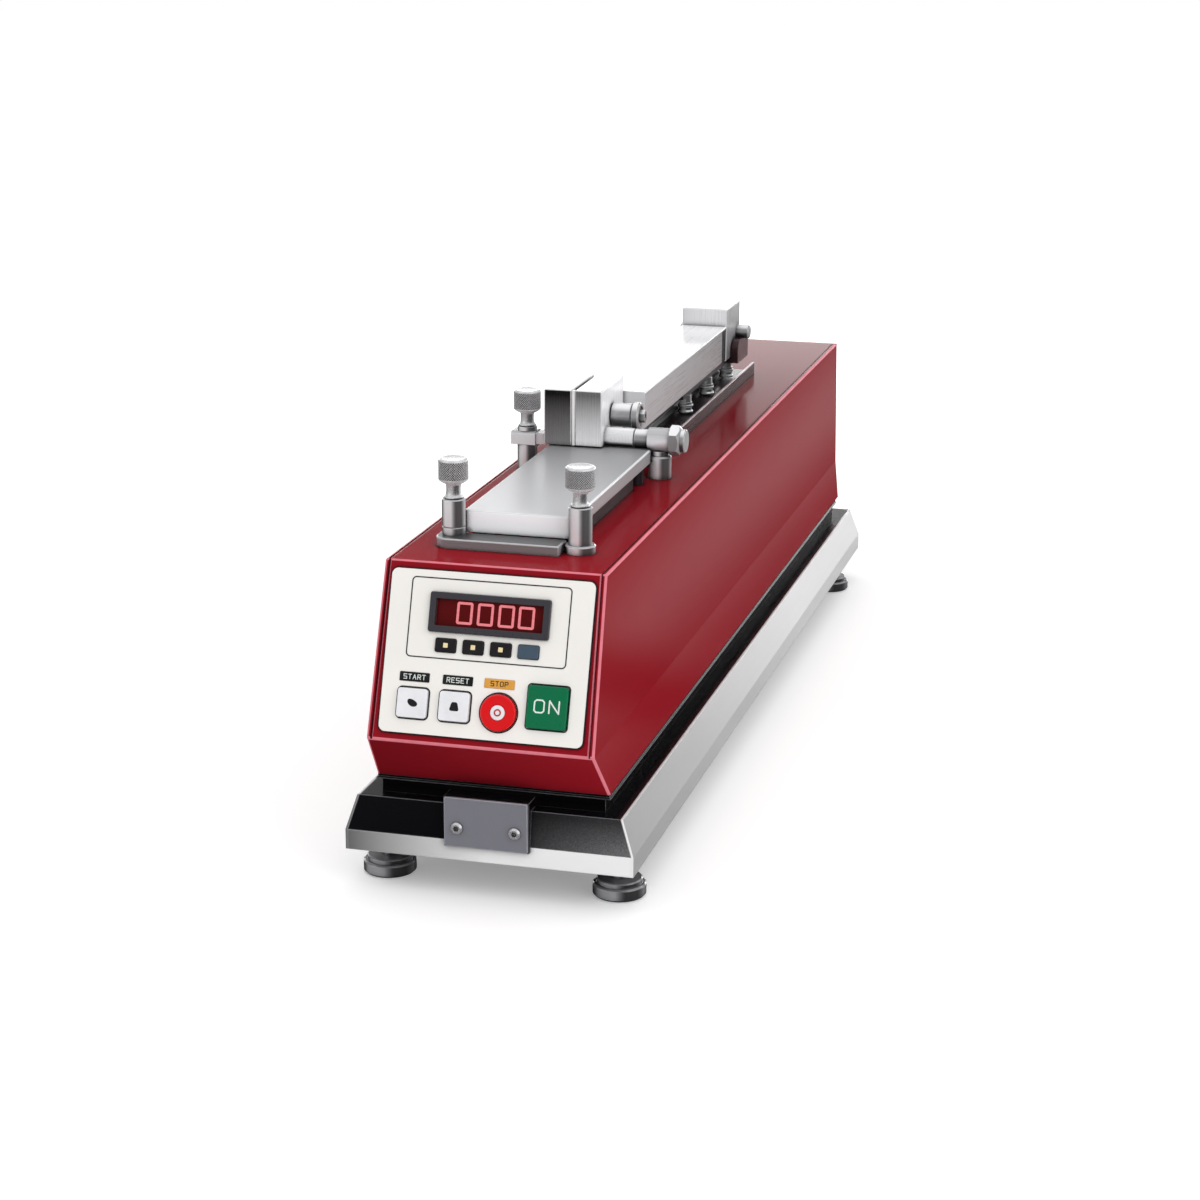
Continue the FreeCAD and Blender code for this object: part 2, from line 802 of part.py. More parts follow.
def platform():
    """Machined specimen table with a deeper front lip, cut back round the front posts."""
    half = platform_width / 2
    plate = box(-half, half, platform_front, platform_back, platform_top - platform_thickness, platform_top)
    lip = box(-half, half, platform_front, platform_front + platform_lip_depth,
              platform_top - platform_lip_height, platform_top)
    table = fused([plate, lip])
    table = table.makeChamfer(platform_edge, [e for e in table.Edges
                                              if e.BoundBox.ZMin > platform_top - 0.01
                                              and e.BoundBox.YMin < platform_back - 1])
    for x, y, radius in ((-post_spread / 2, front_post_y, post_radius),
                         (post_spread / 2, front_post_y, post_radius),
                         (post_spread / 2, rear_post_y, right_post_radius)):
        table = table.cut(rod(radius + free_gap, platform_height + 1, V(x, y, housing_top)))
    start = V(moving_reach, rear_post_y, rod_z)
    return table.cut(rod(rod_radius + sliding_gap, half, start, V(1, 0, 0)))


def platform_spacers():
    """Riser bars under the front of the platform and round spacers under its rear."""
    height = platform_height - platform_thickness
    spacer_y = platform_back - spacer_end_inset
    front = platform_front + platform_lip_depth + sliding_gap
    back = spacer_y - spacer_radius - riser_gap
    supports = []
    for side in (-1, 1):
        outer = side * riser_side
        inner = outer - side * riser_width
        supports.append(box(min(outer, inner), max(outer, inner), front, back,
                            housing_top, housing_top + height))
        supports.append(rod(spacer_radius, height, V(side * spacer_side, spacer_y, housing_top)))
    return group(supports)


def front_bar():
    """Low bar before the platform, rounded round the foot of the left post."""
    left = -post_spread / 2 - post_ring_radius
    back = platform_front - sliding_gap
    bar = box(left, bar_right, bar_front, back, housing_top, housing_top + bar_height)
    corner = edges_along(bar, V(0, 0, 1), lambda c: c.x < 0 and c.y < (bar_front + back) / 2)
    bar = bar.makeFillet(min(bar_corner, back - bar_front - 1), corner)
    seat = rod(post_ring_radius, bar_height, V(-post_spread / 2, front_post_y, housing_top))
    bar = fused([bar, seat])
    return bar.makeChamfer(0.6, [e for e in bar.Edges if e.BoundBox.ZMin > housing_top + bar_height - 0.01])


def front_posts():
    """Bored pillars of the front thumb screws: the left one stands on the bar, the right on a ring."""
    top = housing_top + post_height
    pillars = []
    for side, foot_top, foot_radius in ((-1, bar_height, post_radius), (1, 0, post_ring_radius)):
        bottom = housing_top + foot_top
        height = top - bottom
        pillar = turned([(0, 0), (foot_radius, 0), (foot_radius, post_ring_height - 0.8),
                         (foot_radius - 0.6, post_ring_height), (post_radius, post_ring_height),
                         (post_radius, height - 0.5), (post_radius - 0.5, height), (0, height)],
                        V(side * post_spread / 2, front_post_y, bottom))
        bore = rod(screw_bore_radius + running_fit, screw_bore_depth,
                   V(side * post_spread / 2, front_post_y, top - screw_bore_depth))
        pillars.append(pillar.cut(bore))
    return group(pillars)


def thumb_screw(x, y, seat_z):
    """Thumb screw with a drum head, a waisted neck and a plain shank in its bore."""
    foot_z = sliding_gap
    head = knob_neck_height
    top = knob_neck_height + knob_head_height
    return turned([(0, foot_z - screw_bore_depth + 1), (screw_bore_radius, foot_z - screw_bore_depth + 1),
                   (screw_bore_radius, foot_z), (knob_foot_radius, foot_z),
                   (knob_foot_radius, foot_z + 0.8), (knob_neck_radius + 0.4, foot_z + 1.8),
                   (knob_neck_radius, head * 0.45), (knob_neck_radius + 0.3, head - 1.0),
                   (knob_radius - 2.2, head - 0.1), (knob_radius, head + 1.4),
                   (knob_radius, top - 1.0), (knob_radius - 1.0, top), (0, top)], V(x, y, seat_z))


def rear_left_post():
    """Pillar with a clamp block across it and a dark pad on the block's inner end."""
    block_z = housing_top + clamp_block_bottom
    pillar = rod(left_post_radius, clamp_block_bottom, V(left_post_x, rear_post_y, housing_top))
    x0 = left_post_x - clamp_block_width / 2 - 1
    x1 = x0 + clamp_block_width
    y0 = rear_post_y - clamp_block_depth / 2
    block = box(x0, x1, y0, y0 + clamp_block_depth, block_z, block_z + clamp_block_height)
    block = block.makeFillet(2.0, edges_along(block, V(1, 0, 0), lambda c: c.z > block_z + 1))
    washer_z = block_z + clamp_block_height
    washer = rod(knob_foot_radius + 0.6, clamp_washer_height, V(left_post_x, rear_post_y, washer_z))
    bore = rod(screw_bore_radius + running_fit, screw_bore_depth,
               V(left_post_x, rear_post_y, washer_z + clamp_washer_height - screw_bore_depth))
    post = fused([pillar, block, washer]).cut(bore)
    pad = box(x1, x1 + clamp_pad_length, y0 + 1, y0 + clamp_block_depth - 1,
              block_z + 0.6, block_z + clamp_block_height - 0.6)
    return group([post, pad])


def rear_right_post():
    """Pillar with a turned neck and a horizontal collar for the sensor rod."""
    x = post_spread / 2
    neck_z = rod_height - collar_radius - right_post_neck_height
    pillar = turned([(0, 0), (right_post_radius, 0), (right_post_radius, neck_z - 0.8),
                     (right_post_radius - 0.8, neck_z), (right_post_neck_radius, neck_z),
                     (right_post_neck_radius, rod_height - rod_radius - 0.5),
                     (0, rod_height - rod_radius - 0.5)], V(x, rear_post_y, housing_top))
    collar = rod(collar_radius, collar_width, V(x - collar_width / 2, rear_post_y, rod_z), V(1, 0, 0))
    bore = rod(rod_radius + running_fit, collar_width + 2,
               V(x - collar_width / 2 - 1, rear_post_y, rod_z), V(1, 0, 0))
    return fused([pillar, collar]).cut(bore)


def sensor_rod():
    """Cylindrical stroke sensor clamped in the collar, with its hexagon nut and end disc."""
    start = moving_reach + sliding_gap
    nut = post_spread / 2 + collar_width / 2 - start + 0.1
    nut_end = nut + rod_nut_width
    end = nut_end + rod_disc_width
    barrel = turned([(0, 0), (rod_radius - 0.5, 0), (rod_radius, 0.5), (rod_radius, nut_end),
                     (rod_disc_radius, nut_end), (rod_disc_radius, end - 0.6),
                     (rod_disc_radius - 0.6, end), (0, end)], V(start, rear_post_y, rod_z), V(1, 0, 0))
    nut_start = V(start + nut, rear_post_y, rod_z)
    blank = hex_bar(rod_nut_radius, rod_nut_width, nut_start, V(1, 0, 0))
    bevelled = turned([(0, 0), (rod_nut_radius - 1, 0), (rod_nut_radius, 0.6),
                       (rod_nut_radius, rod_nut_width - 1.6), (rod_disc_radius + 0.4, rod_nut_width),
                       (0, rod_nut_width)], nut_start, V(1, 0, 0))
    return fused([barrel, blank.common(bevelled)])


def rail_channel():
    """Dark U channel on the housing with the slot for the drive link."""
    half = channel_width / 2
    channel = box(-half, half, channel_front, channel_back, housing_top, channel_top)
    inside = box(-half + channel_wall, half - channel_wall, channel_front - 1, channel_back + 1,
                 floor_z, channel_top + 1)
    return channel.cut(inside).cut(drive_slot(housing_top - 1, channel_top + 1))


def guide_rail():
    """Rail with a vee nose along each side, on which the wheels run."""
    nose = wheel_offset - wheel_radius + wheel_groove - sliding_gap
    middle = wheel_z()
    half = rail_nose_height / 2
    slope = nose - rail_half_width
    side = [(rail_half_width, floor_z), (rail_half_width, middle - half),
            (nose, middle - half + slope), (nose, middle + half - slope),
            (rail_half_width, middle + half), (rail_half_width, floor_z + rail_height)]
    outline = [V(x, 0, z) for x, z in side] + [V(-x, 0, z) for x, z in reversed(side)]
    rail = prism(outline, V(0, channel_back - channel_front - 2 * rail_end_inset, 0))
    rail.translate(V(0, channel_front + rail_end_inset, 0))
    return rail


def wheel_z():
    """Mid height of the guide wheels."""
    return floor_z + sliding_gap + 0.5 + wheel_thickness / 2


def wheel_places():
    """Names and centres of the guide wheels, three on each side of the rail."""
    places = []
    first = carriage_front + wheel_offset + 7.5
    for side, x in (("left", -wheel_offset), ("right", wheel_offset)):
        for index in range(wheels_per_side):
            places.append((f"guide_wheel_{side}_{index + 1}", V(x, first + index * wheel_pitch, wheel_z())))
    return places


def guide_wheel(spot):
    """Small wheel with a vee groove, bored for its axle."""
    half = wheel_thickness / 2
    flank = wheel_groove + 0.2
    return turned([(axle_radius + running_fit, -half), (wheel_radius - 0.3, -half),
                   (wheel_radius, -half + 0.3), (wheel_radius, -flank - 0.8),
                   (wheel_radius - wheel_groove, -0.8), (wheel_radius - wheel_groove, 0.8),
                   (wheel_radius, flank + 0.8), (wheel_radius, half - 0.3),
                   (wheel_radius - 0.3, half), (axle_radius + running_fit, half)], spot)


def wheel_axles():
    """Ringed pins that hang from the carriage plate and carry the wheels."""
    axles = []
    under = carriage_top - carriage_thickness
    for _, spot in wheel_places():
        bottom = spot.z - wheel_thickness / 2
        shoulder = spot.z + wheel_thickness / 2 + sliding_gap - bottom
        length = under - bottom
        axles.append(turned([(0, 0), (axle_radius, 0), (axle_radius, shoulder),
                             (axle_ring_radius, shoulder), (axle_ring_radius, shoulder + axle_ring_height),
                             (axle_shoulder_radius, shoulder + axle_ring_height),
                             (axle_shoulder_radius, length), (0, length)],
                            V(spot.x, spot.y, bottom)))
    return group(axles)


def carriage_plate():
    """Thin black plate under the arm with a tab for the drive link."""
    half = carriage_width / 2
    bottom = carriage_top - carriage_thickness
    plate = box(-half, half, carriage_front, bracket_front, bottom, carriage_top)
    tab = box(drive_x - link_width / 2, -half, link_front, link_front + link_length, bottom, carriage_top)
    return fused([plate, tab])


def pivot_bracket():
    """Cradle at the carriage's rear: a floor and two ears with open saddles for the pin."""
    inner = arm_width / 2 + free_gap
    outer = inner + bracket_ear_thickness
    bottom = carriage_top - carriage_thickness
    ear_top = pivot_z - pin_radius + saddle_depth
    cradle = box(-outer, outer, bracket_front, pivot_block_back + 3, bottom, ear_top)
    corners = edges_along(cradle, V(1, 0, 0), lambda c: c.z > ear_top - 0.01)
    cradle = cradle.makeFillet(min(ear_corner, ear_top - bottom - 1), [corners[0]]
                               if corners[0].CenterOfMass.y < corners[-1].CenterOfMass.y else [corners[-1]])
    room = box(-inner, inner, bracket_front - 1, pivot_block_back + 4, carriage_top, ear_top + 1)
    saddle = rod(pin_radius + running_fit, 2 * outer + 2, V(-outer - 1, pivot_y, pivot_z), V(1, 0, 0))
    return cradle.cut(room).cut(saddle)


def drive_link():
    """Blade from the carriage tab down through the slot, clamped to the belt's upper run."""
    under = carriage_top - carriage_thickness
    foot_z = belt_axis_z() + pulley_radius + belt_thickness + sliding_gap
    blade = box(drive_x - link_width / 2, drive_x + link_width / 2, link_front, link_front + link_length,
                foot_z, under)
    clamp = box(drive_x - link_foot_width / 2, drive_x + link_foot_width / 2, link_front,
                link_front + link_length, foot_z, foot_z + link_foot_height)
    return fused([blade, clamp])


def belt_axis_z():
    """Height of both pulley axes."""
    return housing_top - housing_wall - belt_drop - pulley_radius


def drive_belt():
    """Endless belt round the two pulleys."""
    z = belt_axis_z()

    def loop(radius):
        middle = box(drive_x - belt_width / 2, drive_x + belt_width / 2, idler_pulley_y, motor_pulley_y,
                     z - radius, z + radius)
        ends = [rod(radius, belt_width, V(drive_x - belt_width / 2, y, z), V(1, 0, 0))
                for y in (idler_pulley_y, motor_pulley_y)]
        return fused([middle] + ends)

    return loop(pulley_radius + belt_thickness).cut(loop(pulley_radius))


def pulley(y, bore, shaft_end):
    """Flanged pulley, bored for a fixed axle or turned with its own shaft."""
    half = belt_width / 2 + sliding_gap
    flange = half + pulley_flange_width
    groove = pulley_radius - sliding_gap
    rim = pulley_radius + pulley_flange
    outline = [(bore, -flange), (rim, -flange), (rim, -half), (groove, -half),
               (groove, half), (rim, half), (rim, flange), (bore, flange)]
    wheel = turned(outline, V(drive_x, y, belt_axis_z()), V(1, 0, 0))
    if shaft_end is None:
        return wheel
    shaft = rod(shaft_radius, shaft_end - drive_x + flange, V(drive_x - flange, y, belt_axis_z()), V(1, 0, 0))
    return fused([wheel, shaft])


def bracket_x():
    """Left face of the drive brackets' upright plates."""
    return drive_x + belt_width / 2 + 2 * sliding_gap + pulley_flange_width


def drive_brackets():
    """Angle brackets under the housing top for the motor and for the idler with its fixed axle."""
    z = belt_axis_z()
    top = housing_top - housing_wall
    x0 = bracket_x()
    brackets = []
    for y, width in ((motor_pulley_y, motor_bracket_width), (idler_pulley_y, idler_bracket_width)):
        upright = box(x0, x0 + bracket_plate, y - width / 2, y + width / 2, z - pulley_radius, top)
        flange = box(x0, x0 + bracket_flange, y - width / 2, y + width / 2, top - bracket_plate, top)
        brackets.append(fused([upright, flange]))
    hole = rod(shaft_radius + running_fit, bracket_plate + 2, V(x0 - 1, motor_pulley_y, z), V(1, 0, 0))
    axle_start = drive_x - belt_width / 2 - 2 * pulley_flange_width
    axle = rod(shaft_radius, x0 - axle_start, V(axle_start, idler_pulley_y, z), V(1, 0, 0))
    return group([brackets[0].cut(hole), fused([brackets[1], axle])])


def drive_motor():
    """Gear motor screwed to its bracket, with a stepped body and a bearing bore."""
    start = V(bracket_x() + bracket_plate, motor_pulley_y, belt_axis_z())
    body = turned([(0, 0), (motor_radius * 0.9, 0), (motor_radius * 0.9, motor_length * 0.4),
                   (motor_radius, motor_length * 0.4), (motor_radius, motor_length - 2),
                   (motor_radius - 2, motor_length), (0, motor_length)], start, V(1, 0, 0))
    return body.cut(rod(shaft_radius + running_fit, motor_length * 0.4, start, V(1, 0, 0)))


def power_supply():
    """Boxed supply on the housing floor with a terminal step at its front."""
    half = supply_width / 2
    back = supply_front + supply_length
    body = box(-half, half, supply_front, back, neck_top, neck_top + supply_height)
    step = box(-half - 1, half + 1, supply_front - 1, supply_front + 14,
               neck_top + supply_height * 0.6, neck_top + supply_height + 1)
    return body.cut(step)


def head_jaw(x0, x1):
    """Upright block of the head, bored for its half of the finger and for the clamp screw."""
    block = box(x0, x1, head_front, head_back, head_bottom, head_bottom + head_height)
    block = block.makeChamfer(jaw_edge, block.Edges)
    finger_bore = rod(finger_radius + running_fit, finger_length + finger_tip_gap,
                      V(split_x, finger_y, platform_top))
    screw_bore = rod(clamp_screw_radius + running_fit, 2 * (head_right - head_left),
                     V(head_left + 3, clamp_y, clamp_z), V(1, 0, 0))
    return block.cut(finger_bore).cut(screw_bore)


def head_jaw_right():
    """Right block, fixed to the arm, with the turned boss that the stroke sensor reads."""
    block = head_jaw(head_left + jaw_width + jaw_gap, head_right)
    boss = turned([(0, 0), (rod_radius, 0), (rod_radius, moving_reach - head_right - 0.5),
                   (rod_radius - 0.5, moving_reach - head_right), (0, moving_reach - head_right)],
                  V(head_right, rear_post_y, rod_z), V(1, 0, 0))
    below = box(head_right, moving_reach + 1, rear_post_y - rod_radius - 1, rear_post_y + rod_radius + 1,
                platform_top - 5, head_bottom)
    return fused([block, boss.cut(below)])


def finger():
    """Round peg in the split of the head, its foot just above the specimen."""
    bottom = finger_tip_gap
    return turned([(0, bottom), (finger_radius - 0.6, bottom), (finger_radius, bottom + 0.6),
                   (finger_radius, finger_length), (0, finger_length)],
                  V(split_x, finger_y, platform_top))


def clamp_knob():
    """Cross screw that pinches the finger, with a drum body and a dished cap round its nut."""
    start = V(head_right + sliding_gap, clamp_y, clamp_z)
    reach = head_left + 3 + sliding_gap - start.x
    body = clamp_body_width
    cap = clamp_body_width + clamp_cap_width
    floor = cap - clamp_groove
    drum = turned([(0, reach), (clamp_screw_radius, reach), (clamp_screw_radius, 0),
                   (clamp_body_radius - 0.6, 0), (clamp_body_radius, 0.6),
                   (clamp_body_radius, body - clamp_groove),
                   (clamp_body_radius - clamp_groove, body - clamp_groove),
                   (clamp_body_radius - clamp_groove, body), (clamp_cap_radius - 0.4, body),
                   (clamp_cap_radius, body + 0.4), (clamp_cap_radius, cap - 0.9),
                   (clamp_cap_radius - 0.9, cap), (clamp_dish_radius, cap),
                   (clamp_dish_radius - 0.4, floor), (0, floor)], start, V(1, 0, 0))
    nut = hex_bar(clamp_nut_radius, clamp_nut_width, start + V(floor, 0, 0), V(1, 0, 0))
    socket = rod(socket_radius, socket_depth, start + V(floor + clamp_nut_width - socket_depth, 0, 0),
                 V(1, 0, 0))
    return fused([drum, nut]).cut(socket)


def arm_bar():
    """Bar from the head to the pivot block, relieved at its rear end for the pads."""
    half = arm_width / 2
    bar = box(-half, half, head_back, pivot_block_front, arm_bottom, arm_top)
    bar = bar.makeChamfer(arm_edge, edges_along(bar, V(0, 1, 0)))
    return bar.cut(group([end_pad_space(side) for side in (-1, 1)]))


def end_pad_space(side):
    """Recess in one side of the arm at its rear end."""
    outer = side * arm_width / 2
    inner = outer - side * end_pad_thickness
    return box(min(inner, outer + side), max(inner, outer + side), pivot_block_front - end_pad_length,
               pivot_block_front, arm_bottom - 1, arm_top - end_pad_skin)


def arm_end_pads():
    """Dark pads in the recesses beside the pivot block."""
    half = arm_width / 2
    pads = []
    for side in (-1, 1):
        inner = side * (half - end_pad_thickness)
        outer = side * (half - sliding_gap)
        pads.append(box(min(inner, outer), max(inner, outer), pivot_block_front - end_pad_length,
                        pivot_block_front, arm_bottom, arm_top - end_pad_skin))
    return group(pads)


def pivot_block():
    """Tall block at the arm's rear, cross bored for the pin, with a rounded heel."""
    half = arm_width / 2
    block = box(-half, half, pivot_block_front, pivot_block_back, block_bottom,
                block_bottom + pivot_block_height)
    block = block.makeChamfer(pivot_block_edge, block.Edges)
    heel = box(-half - 1, half + 1, pivot_y, pivot_block_back + 1, block_bottom - 1, pivot_z)
    round_heel = rod(pivot_z - block_bottom, arm_width + 2, V(-half - 1, pivot_y, pivot_z), V(1, 0, 0))
    block = block.cut(heel.cut(round_heel))
    return block.cut(rod(pin_radius, arm_width + 2, V(-half - 1, pivot_y, pivot_z), V(1, 0, 0)))


def pivot_pin():
    """Pin through the block whose ends rest in the saddles of the bracket."""
    return turned([(0, 0), (pin_radius - 1, 0), (pin_radius, 1), (pin_radius, 2 * pin_reach - 1),
                   (pin_radius - 1, 2 * pin_reach), (0, 2 * pin_reach)],
                  V(-pin_reach, pivot_y, pivot_z), V(1, 0, 0))


def build_pieces():
    """Every piece by its name."""
    pieces = {
        "base_casting": base_casting(), "base_trim": base_trim(), "neck_plate": neck_plate(),
        "blank_plate": blank_plate(), "fasteners": fasteners(),
        "housing_shell": housing_shell(), "rear_panel": rear_panel(), "power_inlet": power_inlet(),
        "panel_plate": panel_plate(), "counter_bezel": counter_bezel(),
        "counter_window": counter_window(), "circuit_board": circuit_board(),
        "power_supply": power_supply(), "drive_motor": drive_motor(),
        "drive_brackets": drive_brackets(), "drive_belt": drive_belt(),
        "platform": platform(), "platform_spacers": platform_spacers(), "front_bar": front_bar(),
        "front_posts": front_posts(), "rear_left_post": rear_left_post(),
        "rear_right_post": rear_right_post(), "sensor_rod": sensor_rod(),
        "rail_channel": rail_channel(), "guide_rail": guide_rail(),
        "carriage_plate": carriage_plate(), "wheel_axles": wheel_axles(),
        "pivot_bracket": pivot_bracket(), "drive_link": drive_link(),
        "motor_pulley": pulley(motor_pulley_y, 0.0, bracket_x() + bracket_plate + motor_length * 0.35),
        "idler_pulley": pulley(idler_pulley_y, shaft_radius + running_fit, None),
        "arm_bar": arm_bar(), "arm_end_pads": arm_end_pads(), "pivot_block": pivot_block(),
        "pivot_pin": pivot_pin(), "head_jaw_left": head_jaw(head_left, head_left + jaw_width),
        "head_jaw_right": head_jaw_right(), "finger": finger(), "clamp_knob": clamp_knob(),
    }
    post_top = housing_top + post_height
    block_top = housing_top + clamp_block_bottom + clamp_block_height + clamp_washer_height
    pieces["thumb_screw_front_left"] = thumb_screw(-post_spread / 2, front_post_y, post_top)
    pieces["thumb_screw_front_right"] = thumb_screw(post_spread / 2, front_post_y, post_top)
    pieces["thumb_screw_rear_left"] = thumb_screw(left_post_x, rear_post_y, block_top)
    for name, spot in feet_places():
        pieces[name] = foot(spot)
    for name, spot in wheel_places():
        pieces[name] = guide_wheel(spot)
    for name, u, t, width, height, corner in panel_features():
        if name != "counter":
            pieces[name] = on_panel(button(name, width, height, corner), u, t)
    return pieces


os.makedirs("parts", exist_ok=True)
for piece_name, piece in build_pieces().items():
    piece.exportStep(f"parts/{piece_name}.step")
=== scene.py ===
"""Looks of a motorised crockmeter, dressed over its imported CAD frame.

Every length inside the classes is in millimetres and is turned into metres where a mesh is made.
New pieces are surfaces of two parameters worked out as whole numpy arrays.
"""
import logging
import math
from dataclasses import dataclass, field
from enum import Enum

import bpy
import numpy as np
from mathutils import Matrix


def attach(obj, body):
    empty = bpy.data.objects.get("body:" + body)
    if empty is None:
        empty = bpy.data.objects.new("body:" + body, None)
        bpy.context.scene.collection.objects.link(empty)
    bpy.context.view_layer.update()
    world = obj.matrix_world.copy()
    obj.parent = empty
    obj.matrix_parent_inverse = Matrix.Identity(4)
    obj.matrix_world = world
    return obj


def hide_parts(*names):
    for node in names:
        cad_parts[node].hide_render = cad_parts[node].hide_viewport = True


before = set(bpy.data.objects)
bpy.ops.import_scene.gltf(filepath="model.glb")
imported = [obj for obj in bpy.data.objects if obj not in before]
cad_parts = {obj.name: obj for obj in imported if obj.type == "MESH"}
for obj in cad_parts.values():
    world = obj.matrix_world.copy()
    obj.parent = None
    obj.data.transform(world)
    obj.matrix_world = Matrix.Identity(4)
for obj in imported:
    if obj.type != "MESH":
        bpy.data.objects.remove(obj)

logging.basicConfig(level=logging.INFO, format="%(name)s: %(message)s")
log = logging.getLogger("crockmeter")

MM = 0.001
# Colour of the painted shade in joints and close corners.
CONTACT_SHADE = (0.008, 0.006, 0.007)
# Colour of the painted shade in the knurl's grooves.
GROOVE_SHADE = (0.03, 0.03, 0.032)
# Grey of the grainy painted sheen on the base's front.
GRAINY_SHEEN = (0.55, 0.55, 0.57)
WHITE = (1.0, 1.0, 1.0)
Colour = tuple[float, float, float]
Vector3 = tuple[float, float, float]
Pairs = tuple[tuple[float, float], ...]
Part = tuple[np.ndarray, np.ndarray]
Socket = bpy.types.NodeSocket
Material = bpy.types.Material
Piece = bpy.types.Object


class Grain(Enum):
    """Directions in which a metal face was ground, brushed or turned, as noise scales per metre."""

    UPRIGHT = (3600.0, 3600.0, 30.0)
    ALONG_STROKE = (2400.0, 16.0, 2400.0)
    ACROSS = (16.0, 2400.0, 2400.0)
    TURNED_UPRIGHT = (20.0, 20.0, 3200.0)
    TURNED_ACROSS = (3200.0, 20.0, 20.0)
    BLASTED = (1400.0, 1400.0, 1400.0)


@dataclass(frozen=True)
class FaceTone:
    """Painted light and shade on the faces that look one way, running from one tone to another along an axis.
    """

    direction: Vector3
    axis: int
    start: float
    end: float
    low: float
    high: float

    @classmethod
    def even(cls, direction: Vector3, level: float) -> "FaceTone":
        """Painted light and shade that is the same at every height, up to well above the instrument."""
        return cls(direction, 2, 0.0, 300.0, level, level)


class NodeBench:
    """Lays nodes into one node tree."""

    def __init__(self, tree: bpy.types.NodeTree) -> None:
        """Empty the tree that the nodes go into."""
        self.tree = tree
        self.tree.nodes.clear()

    def put(self, kind: str, **settings: object) -> bpy.types.Node:
        """Add a node and set its properties.

        Args:
            kind: Blender's type name of the node.
            settings: Properties of the node by name.

        Returns:
            The new node.
        """
        node = self.tree.nodes.new(kind)
        for key, value in settings.items():
            setattr(node, key, value)
        return node

    def wire(self, source: Socket, target: Socket) -> None:
        """Join an output to an input."""
        self.tree.links.new(source, target)

    def fill(self, target: Socket, value: object) -> None:
        """Give an input its value.

        Args:
            target: The input.
            value: A number, a colour, or a socket to join to it.
        """
        if isinstance(value, Socket):
            self.wire(value, target)
        else:
            target.default_value = (*value, 1.0) if isinstance(value, tuple) else value

    def where(self, kind: str) -> Socket:
        """Texture coordinates of one kind, such as Object."""
        return self.put("ShaderNodeTexCoord").outputs[kind]

    def spot(self, scale: Vector3) -> Socket:
        """Object coordinates scaled along each axis.

        Args:
            scale: Factor per axis, in pattern cells per metre.

        Returns:
            The vector output.
        """
        mapping = self.put("ShaderNodeMapping")
        mapping.inputs["Scale"].default_value = scale
        self.wire(self.where("Object"), mapping.inputs["Vector"])
        return mapping.outputs[0]

    def cloud(self, scale: Vector3, detail: float = 3.0, rough: float = 0.55) -> Socket:
        """Noise over Object coordinates.

        Args:
            scale: Cells per metre along each axis.
            detail: Number of finer layers.
            rough: Weight of the finer layers.

        Returns:
            The noise value, from 0 to 1.
        """
        noise = self.put("ShaderNodeTexNoise")
        noise.inputs["Scale"].default_value = 1.0
        noise.inputs["Detail"].default_value = detail
        noise.inputs["Roughness"].default_value = rough
        self.wire(self.spot(scale), noise.inputs["Vector"])
        return noise.outputs["Fac"]

    def spread(self, value: Socket, low: float, high: float,
               start: float = 0.3, end: float = 0.7) -> Socket:
        """Stretch a value from one range to another.

        Args:
            value: The value's socket.
            low: Result at the range's start.
            high: Result at the range's end.
            start: Start of the incoming range.
            end: End of the incoming range.

        Returns:
            The stretched value, held inside the new range.
        """
        span = self.put("ShaderNodeMapRange")
        for socket, number in zip(span.inputs, (value, start, end, low, high)):
            self.fill(socket, number)
        return span.outputs[0]

    def mix(self, share: Socket, first: object, second: object) -> Socket:
        """Blend two colours by a share.

        Args:
            share: Socket that is 0 for the first colour and 1 for the second.
            first: A colour or a colour socket.
            second: A colour or a colour socket.

        Returns:
            The blended colour.
        """
        node = self.put("ShaderNodeMix", data_type="RGBA")
        for index, value in ((0, share), (6, first), (7, second)):
            self.fill(node.inputs[index], value)
        return node.outputs[2]

    def maths(self, operation: str, first: object, second: object) -> Socket:
        """Join two values by an arithmetic operation.

        Args:
            operation: Blender's name of the operation.
            first: A number or a socket.
            second: A number or a socket.

        Returns:
            The result.
        """
        node = self.put("ShaderNodeMath", operation=operation)
        for socket, value in zip(node.inputs, (first, second)):
            self.fill(socket, value)
        return node.outputs[0]

    def times(self, first: object, *others: object) -> Socket:
        """Multiply numbers or sockets in order, the first by the second and so on.

        Args:
            first: A number or a socket.
            others: More numbers or sockets.

        Returns:
            The product.
        """
        for other in others:
            first = self.maths("MULTIPLY", first, other)
        return first

    def ramp(self, value: Socket, stops: Pairs) -> Socket:
        """Grey level that runs through several stops.

        Args:
            value: Place along the ramp, from 0 to 1.
            stops: Place and grey level of each stop, in order.

        Returns:
            The grey level.
        """
        node = self.put("ShaderNodeValToRGB")
        points = node.color_ramp.elements
        while len(points) < len(stops):
            points.new(0.5)
        for point, (place, level) in zip(points, stops):
            point.position = place
            point.color = (level, level, level, 1.0)
        self.wire(value, node.inputs[0])
        return node.outputs[0]

    def facing(self, direction: Vector3) -> Socket:
        """How squarely a face looks along a direction of the object.

        Args:
            direction: Unit vector in the object's own axes.

        Returns:
            The dot product of the normal and the direction.
        """
        dot = self.put("ShaderNodeVectorMath", operation="DOT_PRODUCT")
        dot.inputs[1].default_value = direction
        self.wire(self.where("Normal"), dot.inputs[0])
        return dot.outputs["Value"]

    def height(self, axis: int) -> Socket:
        """Object coordinate along one axis.

        Args:
            axis: 0 for X, 1 for Y and 2 for Z.

        Returns:
            The coordinate in metres.
        """
        parts = self.put("ShaderNodeSeparateXYZ")
        self.wire(self.where("Object"), parts.inputs[0])
        return parts.outputs[axis]

